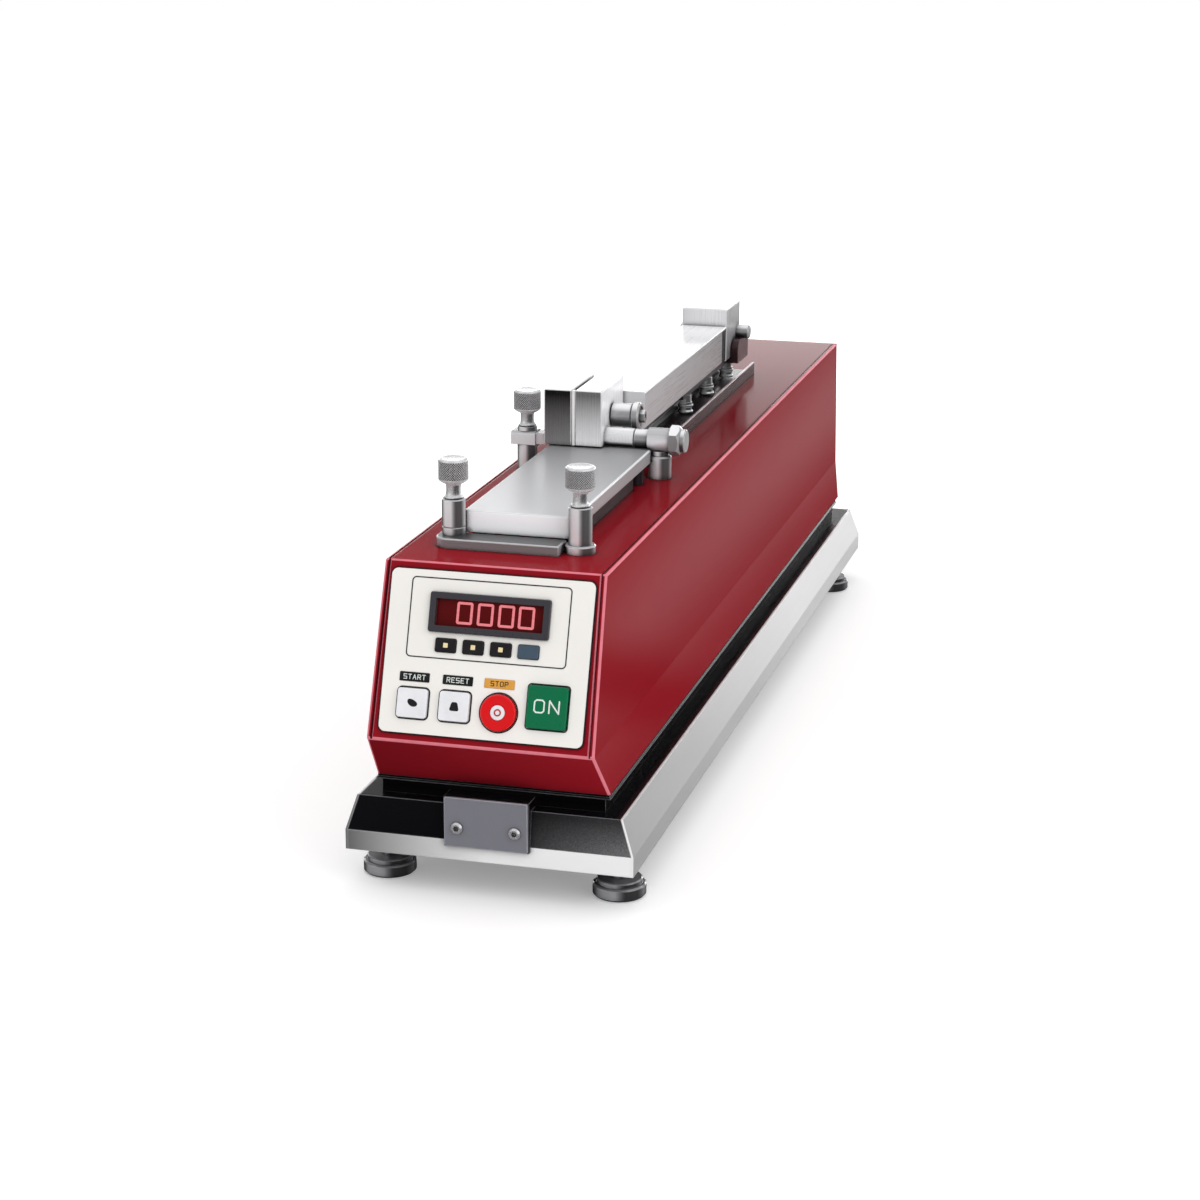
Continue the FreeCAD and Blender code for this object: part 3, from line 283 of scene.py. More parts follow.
    def toned(self, colour: Socket, tones: tuple[FaceTone, ...]) -> Socket:
        """Paint light and shade into a colour on the faces that look along given directions.

        Args:
            colour: The plain colour.
            tones: The painted light and shade.

        Returns:
            The colour with painted light and shade.
        """
        for tone_rule in tones:
            place = self.height(tone_rule.axis)
            level = self.spread(place, tone_rule.low, tone_rule.high,
                                tone_rule.start * MM, tone_rule.end * MM)
            mask = self.spread(self.facing(tone_rule.direction), 0.0, 1.0, 0.80, 0.97)
            scale = self.put("ShaderNodeVectorMath", operation="SCALE")
            self.wire(colour, scale.inputs[0])
            self.wire(level, scale.inputs["Scale"])
            colour = self.mix(mask, colour, scale.outputs[0])
        return colour

    def between_faces(self, normals: tuple[Vector3, ...]) -> Socket:
        """Mark rounded edges: the places whose normal lies between those of the flat faces.

        The mark is 0 where the largest dot product with a flat face's normal is near 1.

        Args:
            normals: Unit normals of all flat faces.

        Returns:
            The mark, from 0 to 1.
        """
        closest = self.facing(normals[0])
        for normal in normals[1:]:
            closest = self.maths("MAXIMUM", closest, self.facing(normal))
        return self.spread(closest, 1.0, 0.0, 0.984, 0.9965)

    def soft_edge(self, radius: float) -> tuple[Socket, Socket]:
        """Rounded normal near edges, and how near an edge a point is.

        The nearness is 1 minus the dot product of the rounded normal and the face's own normal, stretched.

        Args:
            radius: Rounding radius in millimetres.

        Returns:
            The normal and the nearness to an edge, from 0 to 1.
        """
        bevel = self.put("ShaderNodeBevel", samples=4)
        bevel.inputs["Radius"].default_value = radius * MM
        face = self.put("ShaderNodeNewGeometry")
        dot = self.put("ShaderNodeVectorMath", operation="DOT_PRODUCT")
        self.wire(bevel.outputs[0], dot.inputs[0])
        self.wire(face.outputs["Normal"], dot.inputs[1])
        return bevel.outputs[0], self.spread(dot.outputs["Value"], 1.0, 0.0, 0.80, 0.985)

    def contact_shade(self, colour: Socket, reach: float = 4.0) -> Socket:
        """Paint shade into a colour where neighbours stand close, in joints and corners, by ambient occlusion.

        Args:
            colour: The plain colour.
            reach: Distance in millimetres within which a neighbour counts.

        Returns:
            The colour with painted shade in its joints.
        """
        near = self.put("ShaderNodeAmbientOcclusion", samples=4)
        near.inputs["Distance"].default_value = reach * MM
        return self.mix(self.spread(near.outputs["AO"], 0.85, 0.0, 0.5, 0.82), colour, CONTACT_SHADE)

    def relief(self, height: Socket, strength: float, depth: float,
               normal: Socket | None = None) -> Socket:
        """Bump the surface by a height.

        Args:
            height: Height value, from 0 to 1.
            strength: Share of the bump that shows.
            depth: Depth of the bump in millimetres.
            normal: Normal to start from, or None for the surface's own.

        Returns:
            The bumped normal.
        """
        bump = self.put("ShaderNodeBump")
        for name, value in (("Strength", strength), ("Distance", depth * MM), ("Height", height)):
            self.fill(bump.inputs[name], value)
        if normal is not None:
            self.wire(normal, bump.inputs["Normal"])
        return bump.outputs[0]


class ShaderBench(NodeBench):
    """Lays shader nodes into one material around a Principled shader."""

    def __init__(self, name: str) -> None:
        """Start an empty material with a Principled shader wired to its output.

        Args:
            name: Name of the material.
        """
        self.material = bpy.data.materials.new(name)
        self.material.use_nodes = True
        super().__init__(self.material.node_tree)
        out = self.put("ShaderNodeOutputMaterial")
        self.shader = self.put("ShaderNodeBsdfPrincipled")
        self.wire(self.shader.outputs[0], out.inputs[0])

    def set(self, **values: object) -> None:
        """Fill the Principled shader's sockets by name, with underscores for blanks."""
        for key, value in values.items():
            self.fill(self.shader.inputs[key.replace("_", " ")], value)


@dataclass(frozen=True)
class Paint:
    """Sprayed enamel or powder coat with a painted highlight along its edges."""

    name: str
    colour: Colour
    edge_colour: Colour
    roughness: float = 0.3
    gloss: float = 1.2
    edge: float = 0.6
    edge_radius: float = 1.2
    flats: tuple[Vector3, ...] = ()
    grain_sheen: tuple[float, float, float] = (0.0, 0.0, 1.0)
    sheen_face: Vector3 = (0.0, -0.993, 0.116)
    sheen_fade: tuple[float, float] = (34.0, 50.0)
    shade_reach: float = 4.0
    tones: tuple[FaceTone, ...] = ()

    def make(self) -> Material:
        """Build the material: slight mottle, painted light and shade by facing, painted highlights on edges, a
        grainy painted sheen, painted shade in joints, and orange peel.

        Returns:
            The new material.
        """
        bench = ShaderBench(self.name)
        bench.set(IOR=self.gloss)
        darker = tuple(0.94 * c for c in self.colour)
        mottle = bench.cloud((14.0, 5.0, 14.0), 4.0)
        base = bench.mix(bench.spread(mottle, 0.0, 1.0), darker, self.colour)
        # Painted light and shade on faces by the way they look.
        base = bench.toned(base, self.tones)
        normal, near_edge = bench.soft_edge(self.edge_radius)
        if self.flats:
            near_edge = bench.between_faces(self.flats)
        # Painted highlight: a paler colour along the edges, a little patchy.
        edge_highlight = bench.spread(bench.cloud((120.0, 60.0, 120.0), 3.0), 0.8, 1.0)
        base = bench.mix(bench.times(near_edge, edge_highlight, self.edge), base, self.edge_colour)
        # Painted sheen: grey grain on the front faces, growing across the width and fading upwards.
        amount, start, end = self.grain_sheen
        if amount > 0:
            fine = bench.spread(bench.cloud((3600.0, 3600.0, 3600.0), 2.0), 0.3, 1.0, 0.40, 0.62)
            across = bench.spread(bench.height(0), 0.0, amount, start * MM, end * MM)
            low = bench.spread(bench.height(2), 1.0, 0.25, *(z * MM for z in self.sheen_fade))
            front = bench.spread(bench.facing(self.sheen_face), 0.0, 1.0, 0.96, 0.985)
            base = bench.mix(bench.times(across, low, front, fine), base, GRAINY_SHEEN)
        # Painted shade in the joints, by ambient occlusion.
        bench.set(Base_Color=bench.contact_shade(base, self.shade_reach))
        dust = bench.cloud((60.0, 45.0, 60.0), 5.0)
        bench.set(Roughness=bench.spread(dust, self.roughness * 0.97, self.roughness * 1.04))
        peel = bench.cloud((900.0, 900.0, 900.0), 2.0)
        bench.set(Normal=bench.relief(peel, 0.04, 0.04, normal))
        return bench.material


@dataclass(frozen=True)
class Metal:
    """Bare metal with fine tool marks along its grain, smudges, and painted highlights on its edges."""

    name: str
    colour: Colour
    grain: Grain
    roughness: float = 0.26
    metallic: float = 1.0
    marks: float = 0.07
    edge_radius: float = 0.5
    edge: float = 0.8
    shade: float = 0.03
    edge_light: float = 0.22
    groove_shade: float = 0.0
    tones: tuple[FaceTone, ...] = ()

    def make(self) -> Material:
        """Build the material: streaks in colour and gloss, scratch relief, painted light and shade by facing,
        painted highlights on edges, painted shade in grooves and joints.

        Returns:
            The new material.
        """
        bench = ShaderBench(self.name)
        bench.set(Metallic=self.metallic)
        streak = bench.cloud(self.grain.value, 4.0, 0.6)
        smudge = bench.cloud((26.0, 18.0, 26.0), 4.0)
        deep = tuple(c * (1.0 - self.shade * 2) for c in self.colour)
        # Painted highlight: a lighter colour along the edges.
        edge_highlight = tuple(min(1.0, c * 1.2 + self.edge_light) for c in self.colour)
        base = bench.mix(bench.spread(streak, 0.0, 1.0), deep, self.colour)
        base = bench.mix(bench.spread(smudge, 0.0, 0.3), base, deep)
        # Painted light and shade on faces by the way they look.
        base = bench.toned(base, self.tones)
        normal, near_edge = bench.soft_edge(self.edge_radius)
        base = bench.mix(bench.times(near_edge, self.edge), base, edge_highlight)
        # Painted shade in the knurl's grooves, by the stored depth.
        if self.groove_shade > 0:
            depth = bench.put("ShaderNodeAttribute", attribute_name="hollow")
            hollow = bench.spread(depth.outputs["Fac"], 0.0, self.groove_shade, 0.35, 0.9)
            base = bench.mix(hollow, base, GROOVE_SHADE)
        # Painted shade in the joints, by ambient occlusion.
        bench.set(Base_Color=bench.contact_shade(base))
        gloss = bench.maths("ADD", bench.spread(streak, -0.03, 0.04), bench.spread(smudge, -0.02, 0.03))
        bench.set(Roughness=bench.maths("ADD", gloss, self.roughness))
        bench.set(Normal=bench.relief(streak, self.marks, 0.02, normal))
        return bench.material


@dataclass(frozen=True)
class Moulding:
    """Moulded plastic or rubber with a fine grain and a painted highlight along its edges."""

    name: str
    colour: Colour
    roughness: float = 0.4
    grain_depth: float = 0.04
    coat: float = 0.0
    sheen: float = 0.0
    edge_radius: float = 0.35

    def make(self) -> Material:
        """Build the material: faint colour drift, painted highlights on edges, moulded grain and handling
        gloss.

        Returns:
            The new material.
        """
        bench = ShaderBench(self.name)
        bench.set(Coat_Weight=self.coat, Coat_Roughness=0.08, Sheen_Weight=self.sheen, IOR=1.28)
        drift = bench.cloud((120.0, 120.0, 120.0), 3.0)
        faded = tuple(min(1.0, c * 0.9 + 0.006) for c in self.colour)
        normal, near_edge = bench.soft_edge(self.edge_radius)
        bright = tuple(min(1.0, c * 1.25 + 0.02) for c in self.colour)
        base = bench.mix(bench.spread(drift, 0.0, 1.0), faded, self.colour)
        # Painted highlight: a lighter colour along the edges.
        bench.set(Base_Color=bench.mix(bench.times(near_edge, 0.5), base, bright))
        touch = bench.cloud((400.0, 400.0, 400.0), 4.0)
        bench.set(Roughness=bench.spread(touch, self.roughness * 0.85, self.roughness * 1.15))
        grit = bench.cloud((4200.0, 4200.0, 4200.0), 1.0)
        bench.set(Normal=bench.relief(grit, 0.35, self.grain_depth, normal))
        return bench.material


@dataclass(frozen=True)
class Glow:
    """Lit counter segment behind its filter, with a slightly uneven brightness."""

    name: str
    colour: Colour
    strength: float = 1.0

    def make(self) -> Material:
        """Build the material: a dim plastic body that gives off its own light.

        Returns:
            The new material.
        """
        bench = ShaderBench(self.name)
        bench.set(Roughness=0.5, Emission_Strength=self.strength, Base_Color=(0.05, 0.01, 0.01))
        flicker = bench.spread(bench.cloud((900.0, 900.0, 900.0), 2.0), 0.0, 1.0)
        dim = tuple(0.82 * c for c in self.colour)
        bench.set(Emission_Color=bench.mix(flicker, dim, self.colour))
        return bench.material


@dataclass(frozen=True)
class Filter:
    """Dark red acrylic window, deeper towards its lower edge, glossy outside."""

    name: str
    colour: Colour
    deep: Colour
    foot: float = 148.0
    head: float = 163.0

    def make(self) -> Material:
        """Build the material: a colour that changes over the window's height, under a gloss.

        Returns:
            The new material.
        """
        bench = ShaderBench(self.name)
        bench.set(Coat_Weight=0.15, Coat_Roughness=0.03, IOR=1.2, Roughness=0.2)
        rise = bench.spread(bench.height(2), 0.0, 1.0, self.foot * MM, self.head * MM)
        haze = bench.spread(bench.cloud((90.0, 90.0, 90.0), 4.0), -0.15, 0.15)
        bench.set(Base_Color=bench.mix(bench.maths("ADD", rise, haze), self.deep, self.colour))
        return bench.material


def mesh_piece(name: str, points: np.ndarray, faces: np.ndarray, material: Material,
               smooth_angle: float = 35.0) -> Piece:
    """Make a mesh object at the origin from whole arrays of corners and faces.

    Args:
        name: Name of the piece.
        points: Corners in millimetres, one row each.
        faces: Corner numbers of the faces, four a row, with -1 in the last place of a triangle.
        material: Finish of the piece.
        smooth_angle: Largest angle in degrees between faces that is still shaded smooth.

    Returns:
        The new object, linked into the scene.
    """
    flat = faces.ravel()
    sizes = np.where(faces[:, 3] < 0, 3, 4)
    flat = flat[flat >= 0].astype(np.int32)
    mesh = bpy.data.meshes.new(name)
    mesh.vertices.add(len(points))
    mesh.vertices.foreach_set("co", (points * MM).astype(np.float32).ravel())
    mesh.loops.add(len(flat))
    mesh.loops.foreach_set("vertex_index", flat)
    mesh.polygons.add(len(faces))
    starts = np.concatenate(([0], np.cumsum(sizes)[:-1])).astype(np.int32)
    mesh.polygons.foreach_set("loop_start", starts)
    mesh.update(calc_edges=True)
    mesh.validate()
    mesh.materials.append(material)
    mesh.shade_smooth()
    mesh.set_sharp_from_angle(angle=math.radians(smooth_angle))
    piece = bpy.data.objects.new(name, mesh)
    bpy.context.scene.collection.objects.link(piece)
    return piece


def skin(rows: int, columns: int, start: int = 0) -> np.ndarray:
    """Faces of a grid whose columns close into a ring.

    A face joins point (i, j) to (i, j+1), (i+1, j+1) and (i+1, j), the column counted round the ring.

    Args:
        rows: Number of rings.
        columns: Number of points in a ring.
        start: Number of the grid's first point.

    Returns:
        Four corner numbers a row.
    """
    i, j = np.meshgrid(np.arange(rows - 1), np.arange(columns), indexing="ij")
    after = (j + 1) % columns
    quads = np.stack([i * columns + j, i * columns + after, (i + 1) * columns + after,
                      (i + 1) * columns + j], axis=-1)
    return quads.reshape(-1, 4) + start


def fan(ring: np.ndarray, middle: int, inwards: bool) -> np.ndarray:
    """Triangles from a ring of points to a middle point.

    Args:
        ring: Numbers of the ring's points in order.
        middle: Number of the middle point.
        inwards: Whether the triangles run against the ring's order.

    Returns:
        Three corner numbers and -1 a row.
    """
    after = np.roll(ring, -1)
    first, second = (after, ring) if inwards else (ring, after)
    return np.stack([first, second, np.full_like(ring, middle), np.full_like(ring, -1)], axis=-1)


def closed_grid(rings: np.ndarray) -> Part:
    """Close a stack of rings at both ends with a middle point.

    Args:
        rings: Points as rows, columns and coordinates, rings in order from bottom to top.

    Returns:
        The points and the faces of a closed body.
    """
    rows, columns = rings.shape[:2]
    points = np.concatenate([rings.reshape(-1, 3), rings[0].mean(0)[None], rings[-1].mean(0)[None]])
    first = np.arange(columns)
    last = first + (rows - 1) * columns
    faces = np.concatenate([skin(rows, columns), fan(first, rows * columns, True),
                            fan(last, rows * columns + 1, False)])
    return points, faces


@dataclass(frozen=True)
class PanelPlane:
    """Slanted front of the console, with u across, t down the slope and w outwards from its sheet."""

    front: float = -325.7
    top: float = 180.2
    overhang: float = 31.0
    rise: float = 90.0
    plate: float = 1.2

    def place(self, flat: np.ndarray) -> np.ndarray:
        """Carry (u, t, w) points onto the slope.

        The place is the top edge plus t times the downward unit vector plus w times the outward one.

        Args:
            flat: Points as u, t and w in millimetres.

        Returns:
            Points in the row's frame in millimetres.
        """
        length = math.hypot(self.overhang, self.rise)
        down = np.array([0.0, -self.overhang, -self.rise]) / length
        out = np.array([0.0, -self.rise, self.overhang]) / length
        across = np.array([1.0, 0.0, 0.0])
        start = np.array([0.0, self.front, self.top])
        return start + flat[..., :1] * across + flat[..., 1:2] * down + flat[..., 2:3] * out


def rounded_outline(width: float, height: float, corner: float, steps: int = 8) -> np.ndarray:
    """Outline of a rectangle with round corners.

    Each corner is a quarter circle about a centre that lies a corner radius inside both sides.

    Args:
        width: Full width.
        height: Full height.
        corner: Corner radius.
        steps: Points on each corner.

    Returns:
        Points round the origin, against the clock.
    """
    turn = np.linspace(0.0, math.pi / 2, steps)
    angles = (np.arange(4)[:, None] * math.pi / 2 + turn[None, :]).ravel()
    side = np.repeat(np.array([[1, 1], [-1, 1], [-1, -1], [1, -1]], float), steps, axis=0)
    centre = side * np.array([width / 2 - corner, height / 2 - corner])
    return centre + corner * np.stack([np.cos(angles), np.sin(angles)], axis=-1)


def circle(steps: int) -> np.ndarray:
    """Points on the unit circle, against the clock."""
    turn = np.linspace(0.0, 2 * math.pi, steps, endpoint=False)
    return np.stack([np.cos(turn), np.sin(turn)], axis=-1)


def offset_outline(outline: np.ndarray, distance: float) -> np.ndarray:
    """Move a closed outline outwards along its own normals.

    The normal is the tangent, by central difference, turned a quarter turn clockwise.

    Args:
        outline: Points against the clock.
        distance: Outward distance, negative to shrink.

    Returns:
        The moved points.
    """
    tangent = np.roll(outline, -1, axis=0) - np.roll(outline, 1, axis=0)
    tangent /= np.maximum(np.linalg.norm(tangent, axis=1, keepdims=True), 1e-9)
    return outline + distance * np.stack([tangent[:, 1], -tangent[:, 0]], axis=-1)


def loop_band(outline: np.ndarray, width: float, height: float) -> Part:
    """Raised line that follows a closed outline: a small rectangle carried round it.

    Args:
        outline: Middle of the line, against the clock.
        width: Width of the line.
        height: Height of the line above zero.

    Returns:
        Points as x, y and height, and faces.
    """
    section = ((-width / 2, 0.0), (-width / 2, height), (width / 2, height), (width / 2, 0.0))
    rings = [np.column_stack([offset_outline(outline, side), np.full(len(outline), lift)])
             for side, lift in section]
    grid = np.stack(rings + rings[:1])
    faces = skin(5, len(outline)) % (4 * len(outline))
    return grid[:4].reshape(-1, 3), faces


def raised_patch(outline: np.ndarray, height: float, crown: float = 0.0, soften: float = 0.08) -> Part:
    """Low plate with a given outline, softened edge and slightly domed top.

    Its rings are the outline at zero, the outline at the height, a shrunk outline a little higher,
    and copies scaled towards the middle whose height follows one minus the square of the scale.

    Args:
        outline: Points against the clock.
        height: Height of the edge.
        crown: Extra height in the middle.
        soften: Width of the softened edge.

    Returns:
        Points as x, y and height, and faces of a closed body.
    """
    middle = outline.mean(0)
    inner = offset_outline(outline, -soften)
    levels = [(outline, 0.0), (outline, height - soften / 2), (inner, height)]
    rings = [np.column_stack([ring, np.full(len(outline), lift)]) for ring, lift in levels]
    for scale in (0.8, 0.5, 0.25):
        ring = middle + (inner - middle) * scale
        rings.append(np.column_stack([ring, np.full(len(outline), height + crown * (1 - scale ** 2))]))
    return closed_grid(np.stack(rings))


def join_parts(parts: list[Part]) -> Part:
    """Put several point and face arrays into one.

    Args:
        parts: Pairs of points and faces.

    Returns:
        All points and all faces, the latter renumbered.
    """
    counts = np.cumsum([0] + [len(points) for points, _ in parts[:-1]])
    faces = [np.where(face >= 0, face + start, -1) for (_, face), start in zip(parts, counts)]
    return np.concatenate([points for points, _ in parts]), np.concatenate(faces)


def moved(part: Part, u: float, t: float, w: float) -> Part:
    """Shift a flat part to (u, t, w) on the panel, turning its upward y into the slope's downward t."""
    points, faces = part
    return np.array([u, t, w]) + points * np.array([1.0, -1.0, 1.0]), faces


def knurled_body(profile: list[tuple[float, float]], steps: int, band: tuple[float, float], teeth: int,
                 depth: float, rings: int = 64) -> Part:
    """Solid of revolution about Z from (radius, height) points, with a knurl between two heights.

    The knurl adds to the radius its depth times the larger of two cosines whose phase is the tooth
    count times the angle plus and minus the height, so that they cross in diamonds.

    Args:
        profile: Radius and height from the bottom to the top.
        steps: Points round the body.
        band: Lower and upper height of the knurl.
        teeth: Number of teeth round the body.
        depth: Depth of the knurl.
        rings: Rings of points over the knurl.

    Returns:
        Points and faces of the closed body.
    """
    table = np.array(profile, float)
    low, high = band
    fine = np.linspace(low, high, rings)
    radius = np.interp(fine, table[:, 1], table[:, 0])
    table = np.concatenate([table[table[:, 1] < low - 1e-6], np.column_stack([radius, fine]),
                            table[table[:, 1] > high + 1e-6]])
    angle = np.linspace(0.0, 2 * math.pi, steps, endpoint=False)
    radius = np.repeat(table[:, :1], steps, axis=1)
    height = np.repeat(table[:, 1:], steps, axis=1)
    phase = 2 * math.pi * (height - low) * teeth / (2 * math.pi * radius.max())
    wave = np.maximum(np.cos(teeth * angle + phase), np.cos(teeth * angle - phase))
    run_out = 0.3
    inside = np.clip((height - low) / run_out, 0, 1) * np.clip((high - height) / run_out, 0, 1)
    radius = radius + depth * (wave - 1.0) * inside
    return closed_grid(np.stack([radius * np.cos(angle), radius * np.sin(angle), height], axis=-1))


class StrokeFont:
    """Plain one-line capitals and figures, drawn as bars on a unit cell."""

    STROKES: dict[str, tuple[Pairs, ...]] = {
        "O": (((0.2, 0), (0.8, 0), (1, 0.15), (1, 0.85), (0.8, 1), (0.2, 1), (0, 0.85), (0, 0.15), (0.2, 0)),),
        "N": (((0, 0), (0, 1)), ((0, 1), (1, 0)), ((1, 0), (1, 1))),
        "S": (((0, 0), (1, 0), (1, 0.5), (0, 0.5), (0, 1), (1, 1)),),
        "T": (((0, 1), (1, 1)), ((0.5, 1), (0.5, 0))),
        "A": (((0, 0), (0.5, 1), (1, 0)), ((0.2, 0.38), (0.8, 0.38))),
        "R": (((0, 0), (0, 1), (0.85, 1), (1, 0.85), (1, 0.6), (0.85, 0.48), (0, 0.48)), ((0.5, 0.48), (1, 0))),
        "E": (((1, 1), (0, 1), (0, 0), (1, 0)), ((0, 0.52), (0.8, 0.52))),
        "P": (((0, 0), (0, 1), (0.85, 1), (1, 0.85), (1, 0.6), (0.85, 0.46), (0, 0.46)),),
    }

    @staticmethod
    def bar(start: np.ndarray, end: np.ndarray, width: float, height: float) -> Part:
        """Raised bar with round ends between two points.

        Args:
            start: First end.
            end: Other end.
            width: Width of the bar.
            height: Height of the bar.

        Returns:
            Points and faces.
        """
        along = (end - start) / max(float(np.linalg.norm(end - start)), 1e-9)
        turn = np.linspace(-math.pi / 2, math.pi / 2, 7)
        cap = np.stack([np.cos(turn), np.sin(turn)], axis=-1) * width / 2
        spin = np.array([[along[0], along[1]], [-along[1], along[0]]])
        outline = np.concatenate([end + cap @ spin, start - cap @ spin])
        return raised_patch(outline, height, soften=width * 0.12)

    @classmethod
    def write(cls, text: str, size: tuple[float, float], gap: float, width: float, height: float) -> Part:
        """Write a word centred on the origin.

        Args:
            text: Capitals that the font holds.
            size: Width and height of a letter.
            gap: Space between letters.
            width: Width of a stroke.
            height: Height of a stroke.

        Returns:
            Points and faces of all strokes.
        """
        total = len(text) * size[0] + (len(text) - 1) * gap
        bars = []
        for index, letter in enumerate(text):
            corner = np.array([index * (size[0] + gap) - total / 2, -size[1] / 2])
            for number, stroke in enumerate(cls.STROKES[letter]):
                path = corner + np.array(stroke, float) * np.array(size)
                lift = height * (1 + 0.03 * number)
                bars += [cls.bar(path[k], path[k + 1], width, lift * (1 + 0.02 * k))
                         for k in range(len(path) - 1)]
        return join_parts(bars)


class Cabinet:
    """The finishes of the whole instrument, each made once."""

    def __init__(self) -> None:
        """Make every material."""
        self.paints()
        self.metals()
        self.mouldings()

    def paints(self) -> None:
        """Make the red console paint, the black enamels and the panel's enamel."""
        slope = (0.0, -0.9455, 0.3257)
        flats = ((0, 0, 1), (0, 0, -1), (0.999, 0, 0.04), (-0.999, 0, 0.04), slope, (0, -0.766, -0.642),
                 (0, 1, 0))
        # Painted light and shade: the chin darker towards one side, the top darker towards the rear.
        tones = (FaceTone((0, -0.766, -0.642), 0, -60.0, 60.0, 0.66, 1.05),
                 FaceTone((0, 0, 1), 1, -325.0, 20.0, 1.05, 0.55))
        self.red = Paint("red_paint", (0.275, 0.0095, 0.017), (0.86, 0.26, 0.32), roughness=0.16,
                         gloss=1.06, edge=0.85, flats=flats, tones=tones).make()
        self.rear_red = Paint("rear_red_paint", (0.275, 0.0095, 0.017), (0.80, 0.25, 0.30),
                              roughness=0.16, gloss=1.06, edge_radius=0.8).make()
        self.enamel = Paint("black_enamel", (0.0045, 0.0045, 0.0055), (0.42, 0.42, 0.45), roughness=0.16,
                            gloss=1.36, edge=0.8, edge_radius=0.8, grain_sheen=(0.42, 10.0, 78.0)).make()
        self.neck = Paint("black_neck", (0.002, 0.002, 0.0025), (0.42, 0.42, 0.44), roughness=0.22,
                          gloss=1.2, edge=0.8, edge_radius=0.5).make()
        self.panel = Paint("panel_enamel", (0.92, 0.895, 0.855), (0.97, 0.96, 0.94), roughness=0.4,
                           gloss=1.3, edge=0.4, edge_radius=0.5, shade_reach=0.8).make()
        self.motor = Paint("motor_enamel", (0.03, 0.034, 0.04), (0.2, 0.2, 0.22), roughness=0.5,
                           edge_radius=0.8).make()

    def metals(self) -> None:
        """Make the steels, the bright trim and the anodised parts."""
        front, right, top = (0.0, -1.0, 0.0), (1.0, 0.0, 0.0), (0.0, 0.0, 1.0)
        steel = (0.80, 0.80, 0.815)
        # Painted light and shade by facing: highlight and shade bands on round parts, lighter or darker fronts,
        # sides and tops.
        dark_side = (0.669, -0.743, 0.0)
        rim_tone = FaceTone.even((-0.966, -0.257, 0.0), 0.3)
        dark_tone = FaceTone.even(dark_side, 0.2)
        round_tones = (rim_tone, FaceTone.even((-0.242, -0.970, 0.0), 1.95), dark_tone)
        self.trim = Metal(
            "bright_trim", (0.88, 0.88, 0.885), Grain.ALONG_STROKE, 0.36, 0.1, edge_radius=0.9, edge=0.5,
            tones=(FaceTone(front, 0, -80.0, 0.0, 0.17, 1.2),
                   FaceTone((0.95, 0.0, 0.31), 1, -343.0, 120.0, 0.36, 0.72),
                   FaceTone(right, 1, -343.0, 100.0, 1.25, 1.25))).make()
        self.plate = Metal("grey_plate", (0.25, 0.25, 0.29), Grain.BLASTED, 0.45, 0.2, marks=0.1, edge=1.0,
                           edge_radius=0.9, edge_light=0.5).make()
        self.jaw_left = Metal(
            "left_jaw_steel", steel, Grain.UPRIGHT, metallic=0.12, edge_radius=0.8,
            tones=(FaceTone(front, 2, 201.0, 229.0, 0.32, 0.008), FaceTone.even(top, 1.2))).make()
        self.jaw_right = Metal(
            "right_jaw_steel", steel, Grain.UPRIGHT, metallic=0.12, edge_radius=0.8,
            tones=(FaceTone(front, 2, 201.0, 229.0, 1.3, 0.22), FaceTone.even(right, 1.25),
                   FaceTone.even((0.0, -0.6, -0.8), 0.15), FaceTone.even(top, 1.2))).make()
        self.table = Metal(
            "platform_steel", (0.84, 0.845, 0.87), Grain.ACROSS, 0.34, 0.1, marks=0.05, shade=0.02, edge=1.0,
            edge_radius=0.9,
            tones=(FaceTone(top, 1, -282.0, -125.0, 0.84, 0.36), FaceTone(front, 2, 186.0, 198.0, 1.48, 1.58),
                   FaceTone(right, 1, -282.0, -88.0, 0.62, 0.42))).make()
        self.bar = Metal(
            "bar_steel", (0.50, 0.50, 0.515), Grain.ACROSS, 0.3, 0.2, edge=1.0, edge_radius=0.8, edge_light=0.4,
            tones=(FaceTone.even(top, 0.14), FaceTone(front, 2, 180.0, 185.7, 0.8, 0.45))).make()
        self.arm = Metal(
            "arm_steel", steel, Grain.ALONG_STROKE, 0.28, 0.12, edge_radius=0.8,
            tones=(FaceTone(right, 1, -67.0, 160.0, 0.74, 0.42), FaceTone.even(top, 1.22))).make()
        self.block = Metal(
            "pivot_steel", steel, Grain.UPRIGHT, 0.28, 0.12, edge_radius=0.8,
            tones=(FaceTone(front, 2, 198.0, 234.0, 0.9, 1.0), FaceTone(right, 2, 198.0, 234.0, 0.22, 0.70),
                   FaceTone.even(top, 1.22))).make()
        self.turned = Metal("turned_steel", (0.52, 0.52, 0.535), Grain.TURNED_UPRIGHT, 0.17, 0.25,
                            tones=round_tones).make()
        self.turned_across = Metal(
            "turned_across", (0.44, 0.44, 0.45), Grain.TURNED_ACROSS, 0.17, 0.3,
            tones=(FaceTone.even((0.0, -0.4, 0.917), 2.1), FaceTone.even((0.0, -0.85, -0.527), 0.2))).make()
        self.knurled = Metal(
            "knurled_chrome", (0.76, 0.765, 0.78), Grain.BLASTED, 0.25, 0.25, marks=0.05, shade=0.1,
            edge_radius=0.12, groove_shade=0.3,
            tones=(rim_tone, FaceTone(dark_side, 2, 214.0, 217.0, 0.2, 1.1))).make()
        self.zinc = Metal("zinc_plate", (0.70, 0.70, 0.72), Grain.BLASTED, 0.26, 0.6, edge_radius=0.25).make()
